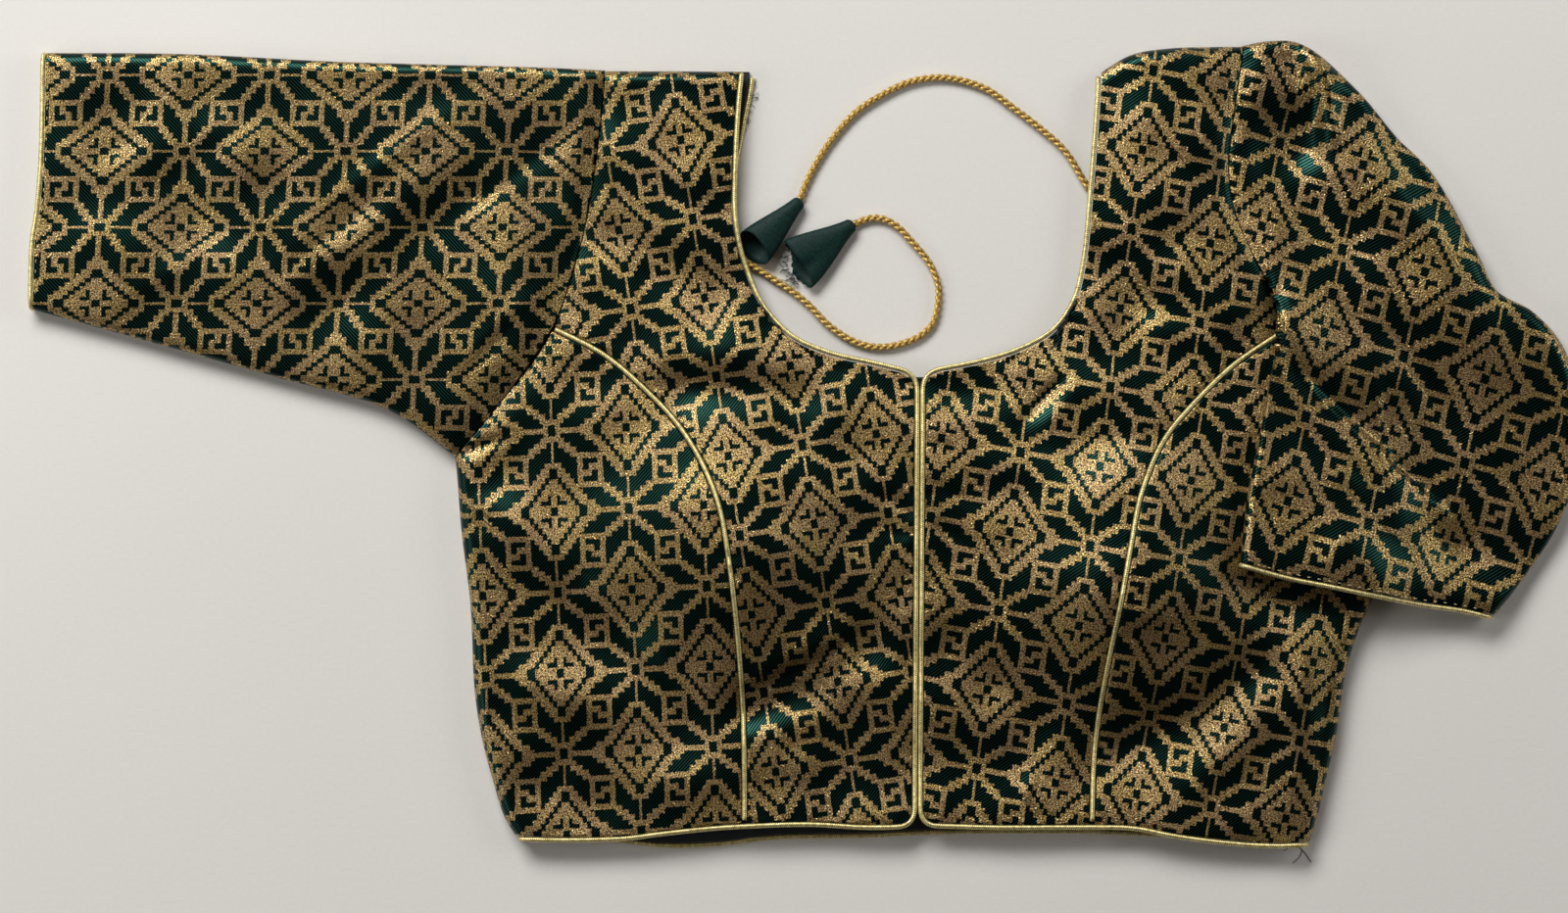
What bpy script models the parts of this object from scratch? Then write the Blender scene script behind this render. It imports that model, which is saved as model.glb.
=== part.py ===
"""A choli blouse, laid flat on its back with one sleeve out and one folded down.

The tables are in millimetres in the tailor's frame: x runs from the centre front towards the
wearer's left, y from the hem up to the shoulders, and z up from the surface that it lies on.
Sides are the wearer's. Objects are made in metres.
"""

import bmesh
import bpy
import numpy as np

MM = 0.001

# Cloth, seams and trim
WALL = 1.5  # brocade with its lining
SEAM_GAP = 0.3
PIPE_RADIUS = 1.25
PIPE_INSET = PIPE_RADIUS + SEAM_GAP  # from a piping's middle to the panel's edge
CORD_RADIUS = 1.9
TASSEL_WALL = 1.0
SURFACE_GAP = 0.02  # under round trim, so that only cloth bears on the surface
PIPE_END = 1.5  # from a piping's cut end to the fold that it stops at
PIPE_SINK = 0.3  # of a princess piping's middle below the cloth's outer face
PLACKET_HALF_WIDTH, PLACKET_WALL, PLACKET_ROWS = 9.0, 1.0, 10
PLACKET_TOP, PLACKET_BOTTOM = 3.0, 4.0  # how far it stops short of the centre front's corners
PLACKET_GAP = 0.5

# Heights of the upper layer's outer face
PLATEAU = 11.2  # front over back
NECK_DROP, NECK_DROP_REACH = 2.6, 16.0
FOOT_BOTTOM = WALL + SEAM_GAP  # where a front's folded side stands on the back
FOOT_TOP = 3.0
BODY_ROLL = 6.0  # how far in the side folds reach
SEAM_DIP, SEAM_DIP_REACH = 1.6, 6.0
DIP_END = 20.0  # how far from the folded sleeve's crossing of the armhole its dip fades
REST_CLEARANCE = 1.8  # between the folded sleeve and the front that it rests on
SLEEVE_THICKNESS = 10.2  # of a sleeve laid flat, outside to outside
# Where the folded sleeve comes down off the front: outside and inside the body's side, and the same
# for the lower armhole
UNDERSIDE_FALL = {"beside": (38.0, -2.0), "ahead": (10.0, 0.0)}
UPPER_FACE_FALL = {"beside": (45.0, 20.0), "ahead": (34.0, 30.0)}

# Seam lines: x, y
CENTRE_CORNER = 9.0  # rounding of a front's corners at the neck and the hem
CENTRE_FRONT = {"right": [(-0.9, 237.5), (-2.4, 12.0)], "left": [(1.9, 238.0), (0.4, 12.5)]}
NECK = {
    "right": [
        (-88.0, 392.0), (-90.0, 372.0), (-91.5, 345.0), (-91.5, 314.0), (-86.5, 291.5),
        (-77.0, 270.5), (-63.0, 256.0), (-45.5, 248.0), (-22.0, 242.5), (-0.9, 237.5),
    ],
    "left": [
        (90.0, 393.0), (88.0, 362.0), (85.0, 324.0), (82.0, 294.0), (77.0, 274.0),
        (67.0, 259.5), (52.0, 250.5), (32.0, 244.0), (1.9, 238.0),
    ],
}
HEM = {
    "right": [
        (-2.4, 12.0), (-25.0, 11.5), (-56.0, 13.0), (-95.0, 11.5), (-126.0, 8.5),
        (-147.0, 5.8), (-180.0, 5.0), (-212.0, 6.0),
    ],
    "left": [
        (0.4, 12.5), (37.0, 11.5), (79.0, 11.5), (106.0, 11.0), (128.0, 7.0),
        (150.0, 4.0), (172.0, 2.2), (204.0, 3.0),
    ],
}
SHOULDER = {
    "right": [(-164.0, 388.7), (-120.0, 388.5), (-80.0, 388.3)],
    "left": [
        (168.0, 400.8), (144.0, 400.6), (126.0, 400.0), (107.0, 397.0), (95.0, 390.5), (84.0, 382.0),
    ],
}
ARMHOLE = {
    "right": [
        (-156.0, 394.0), (-157.5, 372.0), (-163.5, 325.5), (-170.0, 296.0), (-181.5, 262.0),
        (-194.0, 242.0), (-210.0, 221.0), (-231.5, 195.0), (-238.0, 187.0),
    ],
    "left": [
        (162.5, 407.0), (157.5, 372.0), (154.0, 341.0), (157.0, 319.0), (166.0, 297.0),
        (176.0, 278.0), (180.0, 262.0), (184.5, 245.0), (197.0, 226.0), (212.0, 211.0),
        (229.5, 196.5), (238.0, 190.0),
    ],
}
BACK_ARMHOLE_LEFT = [
    (159.0, 407.0), (171.5, 364.5), (186.0, 316.0), (201.0, 267.0), (215.5, 223.5), (233.0, 189.0),
]
SIDE = {
    "right": [
        (-232.5, 203.0), (-231.0, 190.0), (-228.5, 159.0), (-224.0, 121.5), (-222.0, 80.0),
        (-218.5, 56.5), (-212.0, 31.5), (-207.0, 16.0), (-199.0, 3.0),
    ],
    "left": [
        (230.0, 205.0), (229.5, 190.0), (229.0, 160.0), (226.0, 124.0), (220.0, 110.0),
        (213.5, 89.0), (208.5, 56.5), (204.0, 37.0), (198.5, 14.0), (194.0, 0.0),
    ],
}
PRINCESS = {
    "right": [
        (-192.0, 264.0), (-181.5, 259.5), (-156.0, 246.0), (-136.5, 229.5), (-120.0, 212.0),
        (-107.0, 191.0), (-99.0, 170.0), (-95.0, 148.0), (-91.0, 115.0), (-88.0, 75.0),
        (-87.0, 40.0), (-87.0, 6.0),
    ],
    "left": [
        (190.0, 263.0), (179.5, 257.0), (157.0, 242.0), (138.5, 224.5), (122.0, 205.0),
        (110.0, 179.0), (104.0, 152.0), (98.0, 119.0), (92.0, 85.0), (87.5, 50.0), (85.5, 5.0),
    ],
}
STRAP_END = {"right": (-78.5, 273.0), "left": (77.5, 275.5)}  # on the neck, where the strap meets the panel
BACK_NECK = [
    (-82.5, 394.0), (-83.5, 383.0), (-88.0, 360.0), (-93.0, 332.0), (-95.0, 293.0), (-93.5, 247.5),
    (-86.0, 204.0), (-67.5, 177.0), (-38.0, 162.5), (-1.5, 157.5), (35.0, 162.5), (65.5, 177.0),
    (83.0, 204.0), (89.5, 247.5), (91.0, 293.0), (91.0, 332.0), (93.0, 360.0), (98.0, 396.0),
]
BACK_HEM = [
    (-212.0, 8.0), (-180.0, 6.5), (-150.0, 4.0), (-128.0, 1.5), (-103.0, 2.0), (-71.5, 5.5),
    (-25.0, 6.5), (6.5, 8.0), (79.0, 8.5), (127.0, 6.5), (172.0, 4.5), (206.0, 5.0),
]
SLEEVE_RIGHT_TOP = [(-150.0, 388.6), (-194.0, 390.5), (-286.5, 393.0), (-369.5, 397.0), (-440.0, 397.5)]
SLEEVE_RIGHT_BOTTOM = [
    (-223.0, 188.0), (-232.5, 196.5), (-265.5, 219.5), (-320.5, 235.5), (-395.5, 256.5), (-436.0, 267.5),
    (-450.0, 271.0),
]
CUFF_RIGHT = [
    (-436.0, 404.0), (-436.5, 385.0), (-437.5, 341.0), (-439.5, 318.0), (-441.5, 305.0), (-442.5, 286.5),
    (-442.5, 262.0),
]
SLEEVE_LEFT_OUTER = [
    (154.0, 399.0), (161.5, 401.0), (176.0, 403.5), (190.0, 402.0), (219.0, 378.5), (239.0, 355.0),
    (256.0, 338.0), (279.0, 297.0), (288.0, 279.0), (306.0, 268.5), (321.0, 251.5), (328.5, 225.0),
    (328.5, 189.0), (318.5, 161.0), (303.0, 137.0), (286.0, 115.5), (280.0, 107.5),
]
SLEEVE_LEFT_INNER = [
    (182.5, 268.0), (180.0, 259.5), (175.5, 243.0), (169.5, 211.0), (162.5, 178.5), (158.0, 142.5),
    (157.0, 133.0),
]
CUFF_LEFT = [
    (296.0, 113.0), (286.0, 115.5), (269.0, 119.5), (248.0, 122.5), (225.5, 127.0), (203.5, 131.5),
    (181.0, 136.0), (158.0, 142.5), (149.0, 145.5),
]
BODY_BESIDE_CAP = (110.0, 275.0)  # above a line from here the folded sleeve lies beside the front

# Fullness of the front. Domes: x, y, half-width across, below and above, height
DOMES = (
    {"x": -97.5, "y": 153.0, "across": 50.0, "below": 44.0, "above": 56.0, "height": 16.0},
    {"x": 103.5, "y": 140.0, "across": 45.0, "below": 42.0, "above": 58.0, "height": 16.5},
)
# The largest folds: a line from one end to the other, its half-width and its height or, below 0, depth
FOLDS = (
    {"start": (-170.0, 130.0), "end": (-128.0, 88.0), "reach": 14.0, "rise": -3.0},
    {"start": (-84.0, 84.0), "end": (-30.0, 110.0), "reach": 11.0, "rise": -3.2},
    {"start": (-110.0, 52.0), "end": (-44.0, 66.0), "reach": 13.0, "rise": 2.5},
    {"start": (-184.0, 92.0), "end": (-176.0, 84.0), "reach": 14.0, "rise": 3.0},
    {"start": (-176.0, 46.0), "end": (-150.0, 40.0), "reach": 16.0, "rise": -2.0},
    {"start": (-118.0, 241.0), "end": (-70.0, 238.0), "reach": 13.0, "rise": -2.5},
    {"start": (-112.0, 312.0), "end": (-122.0, 302.0), "reach": 16.0, "rise": -2.0},
    {"start": (24.0, 108.0), "end": (64.0, 74.0), "reach": 14.0, "rise": -3.0},
    {"start": (92.0, 60.0), "end": (150.0, 96.0), "reach": 14.0, "rise": -3.2},
    {"start": (124.0, 44.0), "end": (178.0, 96.0), "reach": 11.0, "rise": 2.5},
    {"start": (30.0, 214.0), "end": (52.0, 228.0), "reach": 12.0, "rise": 2.0},
    {"start": (84.0, 214.0), "end": (106.0, 216.0), "reach": 10.0, "rise": -2.5},
    {"start": (104.0, 306.0), "end": (112.0, 292.0), "reach": 12.0, "rise": -2.0},
    {"start": (134.0, 312.0), "end": (150.0, 294.0), "reach": 12.0, "rise": 2.0},
)
SLEEVE_RIGHT_FOLDS = (
    {"start": (-212.0, 372.0), "end": (-318.0, 292.0), "reach": 13.0, "rise": 3.0},
    {"start": (-234.0, 336.0), "end": (-306.0, 276.0), "reach": 11.0, "rise": -2.2},
    {"start": (-350.0, 382.0), "end": (-318.0, 348.0), "reach": 13.0, "rise": 2.5},
    {"start": (-366.0, 340.0), "end": (-344.0, 318.0), "reach": 14.0, "rise": -2.0},
    {"start": (-204.0, 330.0), "end": (-196.0, 292.0), "reach": 14.0, "rise": 2.5},
    {"start": (-412.0, 306.0), "end": (-400.0, 300.0), "reach": 15.0, "rise": 2.0},
)
SLEEVE_LEFT_FOLDS = (
    {"start": (196.0, 396.0), "end": (203.0, 358.0), "reach": 8.0, "rise": 5.0},
    {"start": (186.0, 392.0), "end": (192.0, 350.0), "reach": 9.0, "rise": -4.0},
    {"start": (228.0, 340.0), "end": (262.0, 300.0), "reach": 15.0, "rise": 3.0},
    {"start": (222.0, 290.0), "end": (262.0, 226.0), "reach": 18.0, "rise": -2.4},
    {"start": (188.0, 232.0), "end": (206.0, 216.0), "reach": 16.0, "rise": -2.0},
    {"start": (214.0, 172.0), "end": (226.0, 158.0), "reach": 13.0, "rise": 2.5},
    {"start": (268.0, 138.0), "end": (282.0, 132.0), "reach": 12.0, "rise": 2.0},
)

# The tie cords' routes on the surface: x, y
DORI = {
    "left": [
        (85.2, 329.6), (83.0, 333.0), (73.0, 349.0), (61.0, 360.0), (46.5, 371.0), (34.5, 379.5),
        (20.0, 384.5), (8.0, 385.5), (-5.5, 383.0), (-19.0, 376.5), (-31.0, 368.5), (-42.0, 356.5),
        (-50.5, 344.0), (-56.6, 332.0), (-59.5, 324.0),
    ],
    "right": [
        (-91.2, 296.0), (-86.0, 293.0), (-80.0, 289.5), (-71.5, 284.0), (-63.0, 278.5), (-54.0, 271.0),
        (-47.5, 264.0), (-40.0, 258.0), (-32.0, 253.5), (-23.5, 251.0), (-15.0, 251.0), (-6.5, 253.0),
        (1.0, 256.5), (7.0, 262.5), (9.5, 271.0), (10.0, 280.0), (8.0, 287.5), (3.5, 295.5),
        (-3.0, 303.0), (-10.0, 310.5), (-16.5, 314.5), (-23.5, 315.3), (-29.0, 313.7), (-33.4, 311.7),
    ],
}
# Tassels: the middles of the closed end and of the mouth, and the mouth's half-width and half-height
TASSELS = {
    "left": {"closed": (-60.2, 322.6), "mouth": (-82.0, 300.8), "half_width": 10.0, "half_height": 5.2},
    "right": {"closed": (-34.2, 311.3), "mouth": (-59.4, 293.2), "half_width": 13.4, "half_height": 4.2},
}
TASSEL_NECK = 2.9
FLARE_START, FLARE_SHARE = 0.1, 0.8  # the stretch of an S-curve that a tassel widens by

# How finely each piece is divided
ROLL_STEPS = (0.0, 0.8, 2.4, 5.0, 9.0)  # distances from a folded edge
SEAM_STEPS = (0.0, 5.0, 11.0)  # distances from a sunken seam
CAP_STEPS = (0.0, 8.0, 20.0)  # distances from the folded sleeve's cap
FLAT_LAYER = (0.75, 0.5, 0.25)  # fractions across a lower layer that lies flat
UNDER_SPAN = (0.95, 0.1)  # the same across the folded sleeve's lower layer, from first to last
STRAP_COLUMNS, STRAP_ROWS = 7, 12
STRAP_OVERRUN = 1.2  # a strap's lower end is drawn past the neck, to cross it
NECK_COLUMNS, PANEL_ROWS = 7, 23
SIDE_COLUMNS, SIDE_ROWS = 6, 11
SLEEVE_COLUMNS, SLEEVE_RIGHT_ROWS, SLEEVE_LEFT_ROWS = 12, 13, 20
OUTLINE_STEP = 8.0
BEND_STEP = 14.0  # degrees
CORD_STEP = 7.0
TASSEL_SIDES, TASSEL_RINGS = 14, 5

COLLECTION = "choli_blouse"
MATERIALS = {
    "brocade": {"base": (0.17, 0.14, 0.06), "metallic": 0.35, "roughness": 0.5},
    "piping": {"base": (0.62, 0.50, 0.22), "metallic": 0.4, "roughness": 0.45},
    "lining": {"base": (0.010, 0.022, 0.018), "metallic": 0.0, "roughness": 0.8},
    "dori": {"base": (0.70, 0.46, 0.12), "metallic": 0.3, "roughness": 0.5},
    "satin": {"base": (0.010, 0.060, 0.045), "metallic": 0.0, "roughness": 0.4},
}
INWARD = {"right": 1.0, "left": -1.0}  # 1 where the centre is to the left of a line that runs down the body


# Lines in plan


def spline(points, per_span=12):
    """A smooth line through the points."""
    points = np.array(points, float)
    ends = np.vstack([2 * points[0] - points[1], points, 2 * points[-1] - points[-2]])
    knots = np.concatenate([[0.0], np.cumsum(np.sqrt(np.linalg.norm(np.diff(ends, axis=0), axis=1)))])
    s = np.linspace(0.0, 1.0, per_span, endpoint=False)[:, None]
    line = []
    for i in range(1, len(ends) - 2):
        before, start, end, after = ends[i - 1 : i + 3]
        t0, t1, t2, t3 = knots[i - 1 : i + 3]
        chord = (end - start) / (t2 - t1)
        leave = (t2 - t1) * ((start - before) / (t1 - t0) - (end - before) / (t2 - t0) + chord)
        arrive = (t2 - t1) * (chord - (after - start) / (t3 - t1) + (after - end) / (t3 - t2))
        line.append(
            (2 * s**3 - 3 * s**2 + 1) * start
            + (s**3 - 2 * s**2 + s) * leave
            + (3 * s**2 - 2 * s**3) * end
            + (s**3 - s**2) * arrive
        )
    line.append(points[-1:])
    return np.vstack(line)


def reach_of(line):
    """The length from a line's start to each of its points."""
    return np.concatenate([[0.0], np.cumsum(np.linalg.norm(np.diff(line, axis=0), axis=1))])


def at(line, lengths):
    """The points at some lengths along a line."""
    reach = reach_of(line)
    return np.column_stack([np.interp(lengths, reach, axis) for axis in line.T])


def evenly(line, count):
    """Count spaces between evenly spaced points along a line."""
    return at(line, np.linspace(0.0, reach_of(line)[-1], count + 1))


def spaced(line, step):
    return evenly(line, max(1, int(round(reach_of(line)[-1] / step))))


def thinned(line, step, bend=BEND_STEP):
    """The points of a line that are a step apart, or nearer where it turns."""
    kept, heading, since = [0], None, 0.0
    for i in range(1, len(line) - 1):
        along = line[i + 1] - line[i]
        since += np.linalg.norm(line[i] - line[i - 1])
        angle = np.degrees(np.arctan2(along[1], along[0]))
        heading = angle if heading is None else heading
        if since >= step or abs((angle - heading + 180) % 360 - 180) >= bend:
            kept.append(i)
            heading, since = angle, 0.0
    return line[[*kept, len(line) - 1]]


def nearest(line, point):
    """How far along a line its point nearest to another point is."""
    start, step = line[:-1], np.diff(line, axis=0)
    share = np.clip(((point - start) * step).sum(axis=1) / (step**2).sum(axis=1), 0.0, 1.0)
    i = np.linalg.norm(start + share[:, None] * step - point, axis=1).argmin()
    return reach_of(line)[i] + share[i] * np.linalg.norm(step[i])


def fractions_of(line, fractions):
    return at(line, np.array(fractions) * reach_of(line)[-1])


def shifted(line, distance):
    """A plan line moved sideways, to its left where the distance is positive."""
    along = np.gradient(line, axis=0)
    along /= np.linalg.norm(along, axis=1)[:, None]
    return line + distance * np.column_stack([-along[:, 1], along[:, 0]])


def between(line, start, end):
    """The stretch of a line between two lengths, turned round if the first is the larger."""
    reach = reach_of(line)
    low, high = min(start, end), max(start, end)
    inside = line[(reach > low + 0.01) & (reach < high - 0.01)]
    ends = at(line, [low, high])
    stretch = np.vstack([ends[:1], inside, ends[1:]])
    return stretch if start < end else stretch[::-1]


def turn(a, b):
    return a[..., 0] * b[..., 1] - a[..., 1] * b[..., 0]


def crossing(first, second):
    """How far along each of two plan lines they first cross."""
    a, b = first[:-1, None], second[None, :-1]
    a_step, b_step = np.diff(first, axis=0)[:, None], np.diff(second, axis=0)[None]
    with np.errstate(divide="ignore", invalid="ignore"):
        on_a = turn(b - a, b_step) / turn(a_step, b_step)
        on_b = turn(b - a, a_step) / turn(a_step, b_step)
    i, j = np.argwhere((on_a >= 0) & (on_a <= 1) & (on_b >= 0) & (on_b <= 1))[0]
    a_length = reach_of(first)[i] + on_a[i, j] * np.linalg.norm(a_step[i, 0])
    b_length = reach_of(second)[j] + on_b[i, j] * np.linalg.norm(b_step[0, j])
    return a_length, b_length


def outline(lines):
    """Lines that cross in a ring, each cut back to the stretch between its neighbours."""
    stretches = []
    for before, line, after in zip(lines[-1:] + lines[:-1], lines, lines[1:] + lines[:1]):
        stretches.append(between(line, crossing(line, before)[0], crossing(line, after)[0]))
    return stretches


def rounded(first, second, size):
    """Two lines that meet end to start, as one with its corner rounded off."""
    corner = first[-1]
    first = between(first, 0.0, reach_of(first)[-1] - size)
    second = between(second, size, reach_of(second)[-1])
    s = np.linspace(0.0, 1.0, 8)[1:-1, None]
    curve = (1 - s) ** 2 * first[-1] + 2 * s * (1 - s) * corner + s**2 * second[0]
    return np.vstack([first, curve, second])


def distance_to(points, line):
    """The plan distance from each point to a line."""
    start, step = line[:-1], np.diff(line, axis=0)
    offset = points[:, None] - start[None]
    share = np.clip((offset * step).sum(axis=2) / (step**2).sum(axis=1), 0.0, 1.0)
    return np.linalg.norm(offset - share[..., None] * step, axis=2).min(axis=1)


def beyond(points, line):
    """The signed plan distance from a line to each point, positive to the line's left."""
    start, step = line[:-1], np.diff(line, axis=0)
    offset = points[:, None] - start[None]
    share = np.clip((offset * step).sum(axis=2) / (step**2).sum(axis=1), 0.0, 1.0)
    apart = np.linalg.norm(offset - share[..., None] * step, axis=2)
    nearest = apart.argmin(axis=1)
    row = np.arange(len(points))
    side = np.sign(turn(step[nearest], offset[row, nearest]))
    return apart[row, nearest] * side


def ease(t):
    t = np.clip(t, 0.0, 1.0)
    return t * t * (3 - 2 * t)


# The garment's seam lines


def front_edge(side):
    """The piped edge of a front: neck, centre front and hem."""
    neck_and_centre = rounded(spline(NECK[side]), spline(CENTRE_FRONT[side]), CENTRE_CORNER)
    return rounded(neck_and_centre, spline(HEM[side]), CENTRE_CORNER)


# Heights


def folds_at(points, folds):
    rise = np.zeros(len(points))
    for fold in folds:
        line = np.array([fold["start"], fold["end"]])
        rise += fold["rise"] * np.exp(-((distance_to(points, line) / fold["reach"]) ** 2))
    return rise


def domes_at(points):
    rise = np.zeros(len(points))
    for dome in DOMES:
        across = (points[:, 0] - dome["x"]) / dome["across"]
        up = points[:, 1] - dome["y"]
        along = up / np.where(up < 0, dome["below"], dome["above"])
        rise += dome["height"] * np.exp(-(across**2) - along**2)
    return rise


def fullness(points, side):
    """The outer face of the front, away from its folded sides."""
    neck = distance_to(points, spline(NECK[side]))
    armhole = distance_to(points, spline(ARMHOLE[side]))
    rise = PLATEAU + domes_at(points) + folds_at(points, FOLDS)
    rise -= NECK_DROP * np.exp(-((neck / NECK_DROP_REACH) ** 2))
    return rise - SEAM_DIP * np.exp(-((armhole / SEAM_DIP_REACH) ** 2))


def front_top(points, side):
    """The outer face of the front, rolled down to the back at the shoulder and the side."""
    inset = np.minimum(
        distance_to(points, spline(SIDE[side])), distance_to(points, spline(SHOULDER[side]))
    )
    roll = np.sqrt(1 - (1 - np.clip(inset / BODY_ROLL, 0.0, 1.0)) ** 2)
    return FOOT_TOP + (fullness(points, side) - FOOT_TOP) * roll


def sleeve_right_top(points):
    """The outer face of the straight sleeve, away from its folds."""
    armhole = distance_to(points, spline(ARMHOLE["right"]))
    rise = SLEEVE_THICKNESS + folds_at(points, SLEEVE_RIGHT_FOLDS)
    return rise - SEAM_DIP * np.exp(-((armhole / SEAM_DIP_REACH) ** 2))


def over_left_front(points, beside, ahead):
    """How far the folded sleeve is lifted by the front it lies on, from 0 to 1."""
    past_side = beyond(points, spline(SIDE["left"]))
    past_seam = beyond(points, np.vstack([BODY_BESIDE_CAP, lower_armhole()]))
    return ease((beside[0] - past_side) / sum(beside)) * ease((ahead[0] - past_seam) / sum(ahead))


def sleeve_left_under(points):
    """The underside of the folded sleeve."""
    front = fullness(points, "left") + REST_CLEARANCE
    return front * over_left_front(points, **UNDERSIDE_FALL)


def sleeve_left_top(points):
    """The outer face of the folded sleeve, away from its folds' edges."""
    armhole = distance_to(points, spline(ARMHOLE["left"]))
    fading = 1 - np.exp(-((np.linalg.norm(points - lower_armhole()[0], axis=1) / DIP_END) ** 2))
    dip = SEAM_DIP * np.exp(-((armhole / SEAM_DIP_REACH) ** 2)) * fading
    front = fullness(points, "left") + REST_CLEARANCE
    lift = front * over_left_front(points, **UPPER_FACE_FALL)
    return SLEEVE_THICKNESS + lift + folds_at(points, SLEEVE_LEFT_FOLDS) - dip


def flat(points):
    return np.zeros(len(points))


# Meshes


def new_object(name, data, material):
    obj = bpy.data.objects.new(name, data)
    bpy.data.collections[COLLECTION].objects.link(obj)
    data.materials.append(bpy.data.materials[material])
    return obj


def cloth(name, sheets, material, wall=WALL, rings=False, cap=False):
    """One piece of cloth from rows of points on its outer face, thickened inwards.

    The rows of a tube are rings, and cap closes its first one.
    """
    mesh = bmesh.new()
    for rows in sheets:
        verts = [[mesh.verts.new(np.asarray(point) * MM) for point in row] for row in rows]
        for near, far in zip(verts, verts[1:]):
            count = len(near)
            for i in range(count if rings else count - 1):
                j = (i + 1) % count
                mesh.faces.new((near[i], near[j], far[j], far[i]))
        if cap:
            mesh.faces.new(verts[0])
    bmesh.ops.remove_doubles(mesh, verts=mesh.verts, dist=0.01 * MM)
    mesh.normal_update()
    if rings:
        bmesh.ops.recalc_face_normals(mesh, faces=mesh.faces)
    elif sum(face.normal.z * face.calc_area() for face in mesh.faces) < 0:
        bmesh.ops.reverse_faces(mesh, faces=mesh.faces)
    data = bpy.data.meshes.new(name)
    mesh.to_mesh(data)
    mesh.free()
    data.shade_smooth()
    obj = new_object(name, data, material)
    solidify = obj.modifiers.new("Wall", "SOLIDIFY")
    solidify.thickness = wall * MM
    solidify.offset = -1.0
    return obj


def tube(name, line, radius, material, sides=6, ring=False):
    """A round piece along a line, with flat ends or joined in a ring."""
    curve = bpy.data.curves.new(name, "CURVE")
    curve.dimensions = "3D"
    path = curve.splines.new("POLY")
    path.points.add(len(line) - 1)
    for point, place in zip(path.points, line):
        point.co = (*(np.asarray(place) * MM), 1.0)
    path.use_cyclic_u = ring
    curve.bevel_depth = radius * MM
    curve.bevel_resolution = (sides - 4) // 2
    curve.use_fill_caps = not ring
    return new_object(name, curve, material)


def coons(lines, across, down):
    """Plan points between four lines at fractions across and down.

    The top and bottom lines run the same way, and so do the left and right ones.
    """
    top, bottom, left, right = lines
    u, v = np.asarray(across, float), np.asarray(down, float)
    u, v = np.broadcast_arrays(u, v)
    shape = u.shape
    u, v = u.ravel(), v.ravel()
    a, b = fractions_of(top, u), fractions_of(bottom, u)
    c, d = fractions_of(left, v), fractions_of(right, v)
    u, v = u[:, None], v[:, None]
    ruled = (1 - v) * a + v * b + (1 - u) * c + u * d
    corners = (1 - v) * ((1 - u) * top[0] + u * top[-1]) + v * ((1 - u) * bottom[0] + u * bottom[-1])
    return (ruled - corners).reshape(*shape, 2)


def raised(rows, height):
    """Plan rows lifted to a height that is a function of plan points."""
    z = height(rows.reshape(-1, 2)).reshape(rows.shape[:2])
    return np.dstack([rows, z])


def own_fractions(line):
    return reach_of(line) / reach_of(line)[-1]


def steps(line, first, count):
    """Fractions of a line: at some first distances from its start, then evenly to its end."""
    first = np.array(first) / reach_of(line)[-1]
    return np.concatenate([first[:-1], np.linspace(first[-1], 1.0, count + 1)])


def front_lines(side):
    """The lines that a front's panels end on."""
    inward = INWARD[side]
    princess = spline(PRINCESS[side])
    return {
        "edge": shifted(front_edge(side), -inward * PIPE_INSET),
        "armhole": shifted(spline(ARMHOLE[side]), inward * SEAM_GAP / 2),
        "centre seam": shifted(princess, inward * PIPE_INSET),
        "side seam": shifted(princess, -inward * PIPE_INSET),
        "shoulder": spline(SHOULDER[side]),
        "side": spline(SIDE[side]),
    }


def stretch(line, start, end):
    """The stretch of a line from where it crosses one line to where it crosses another."""
    return between(line, crossing(line, start)[0], crossing(line, end)[0])


def centre_front(side):
    """A centre front: the strap from the shoulder, and the panel below, which share a row of points."""
    lines = front_lines(side)
    edge, armhole, seam = lines["edge"], lines["armhole"], lines["centre seam"]
    seam_top = at(seam, [crossing(seam, armhole)[0]])[0]
    strap = np.array([seam_top, seam_top + STRAP_OVERRUN * (np.array(STRAP_END[side]) - seam_top)])
    to_neck = crossing(edge, strap)[0]
    strap_row = evenly(np.array([seam_top, at(edge, [to_neck])[0]]), STRAP_COLUMNS)

    shoulder = stretch(lines["shoulder"], armhole, edge)
    upper_armhole = stretch(armhole, lines["shoulder"], seam)
    upper_neck = between(edge, crossing(edge, lines["shoulder"])[0], to_neck)
    down = steps(upper_armhole, ROLL_STEPS, STRAP_ROWS)[:, None]
    strap_rows = coons((shoulder, strap_row, upper_armhole, upper_neck), own_fractions(strap_row), down)

    corners = [nearest(edge, np.array(corner)) for corner in CENTRE_FRONT[side]]
    lower_neck = evenly(between(edge, to_neck, corners[0]), NECK_COLUMNS)
    panel_top = np.vstack([strap_row, lower_neck[1:]])
    hem = between(edge, crossing(edge, seam)[0], corners[1])
    down = np.linspace(0.0, 1.0, PANEL_ROWS + 1)[:, None]
    panel_lines = panel_top, hem, stretch(seam, armhole, edge), between(edge, *corners)
    panel_rows = coons(panel_lines, own_fractions(panel_top), down)

    strap_sheet = raised(strap_rows, lambda points: front_top(points, side))
    panel_sheet = raised(panel_rows, lambda points: front_top(points, side))
    foot = strap_sheet[:1].copy()
    foot[..., 2] = FOOT_BOTTOM
    return cloth(f"front_centre_{side}", [np.concatenate([foot, strap_sheet]), panel_sheet], "brocade")


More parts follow.
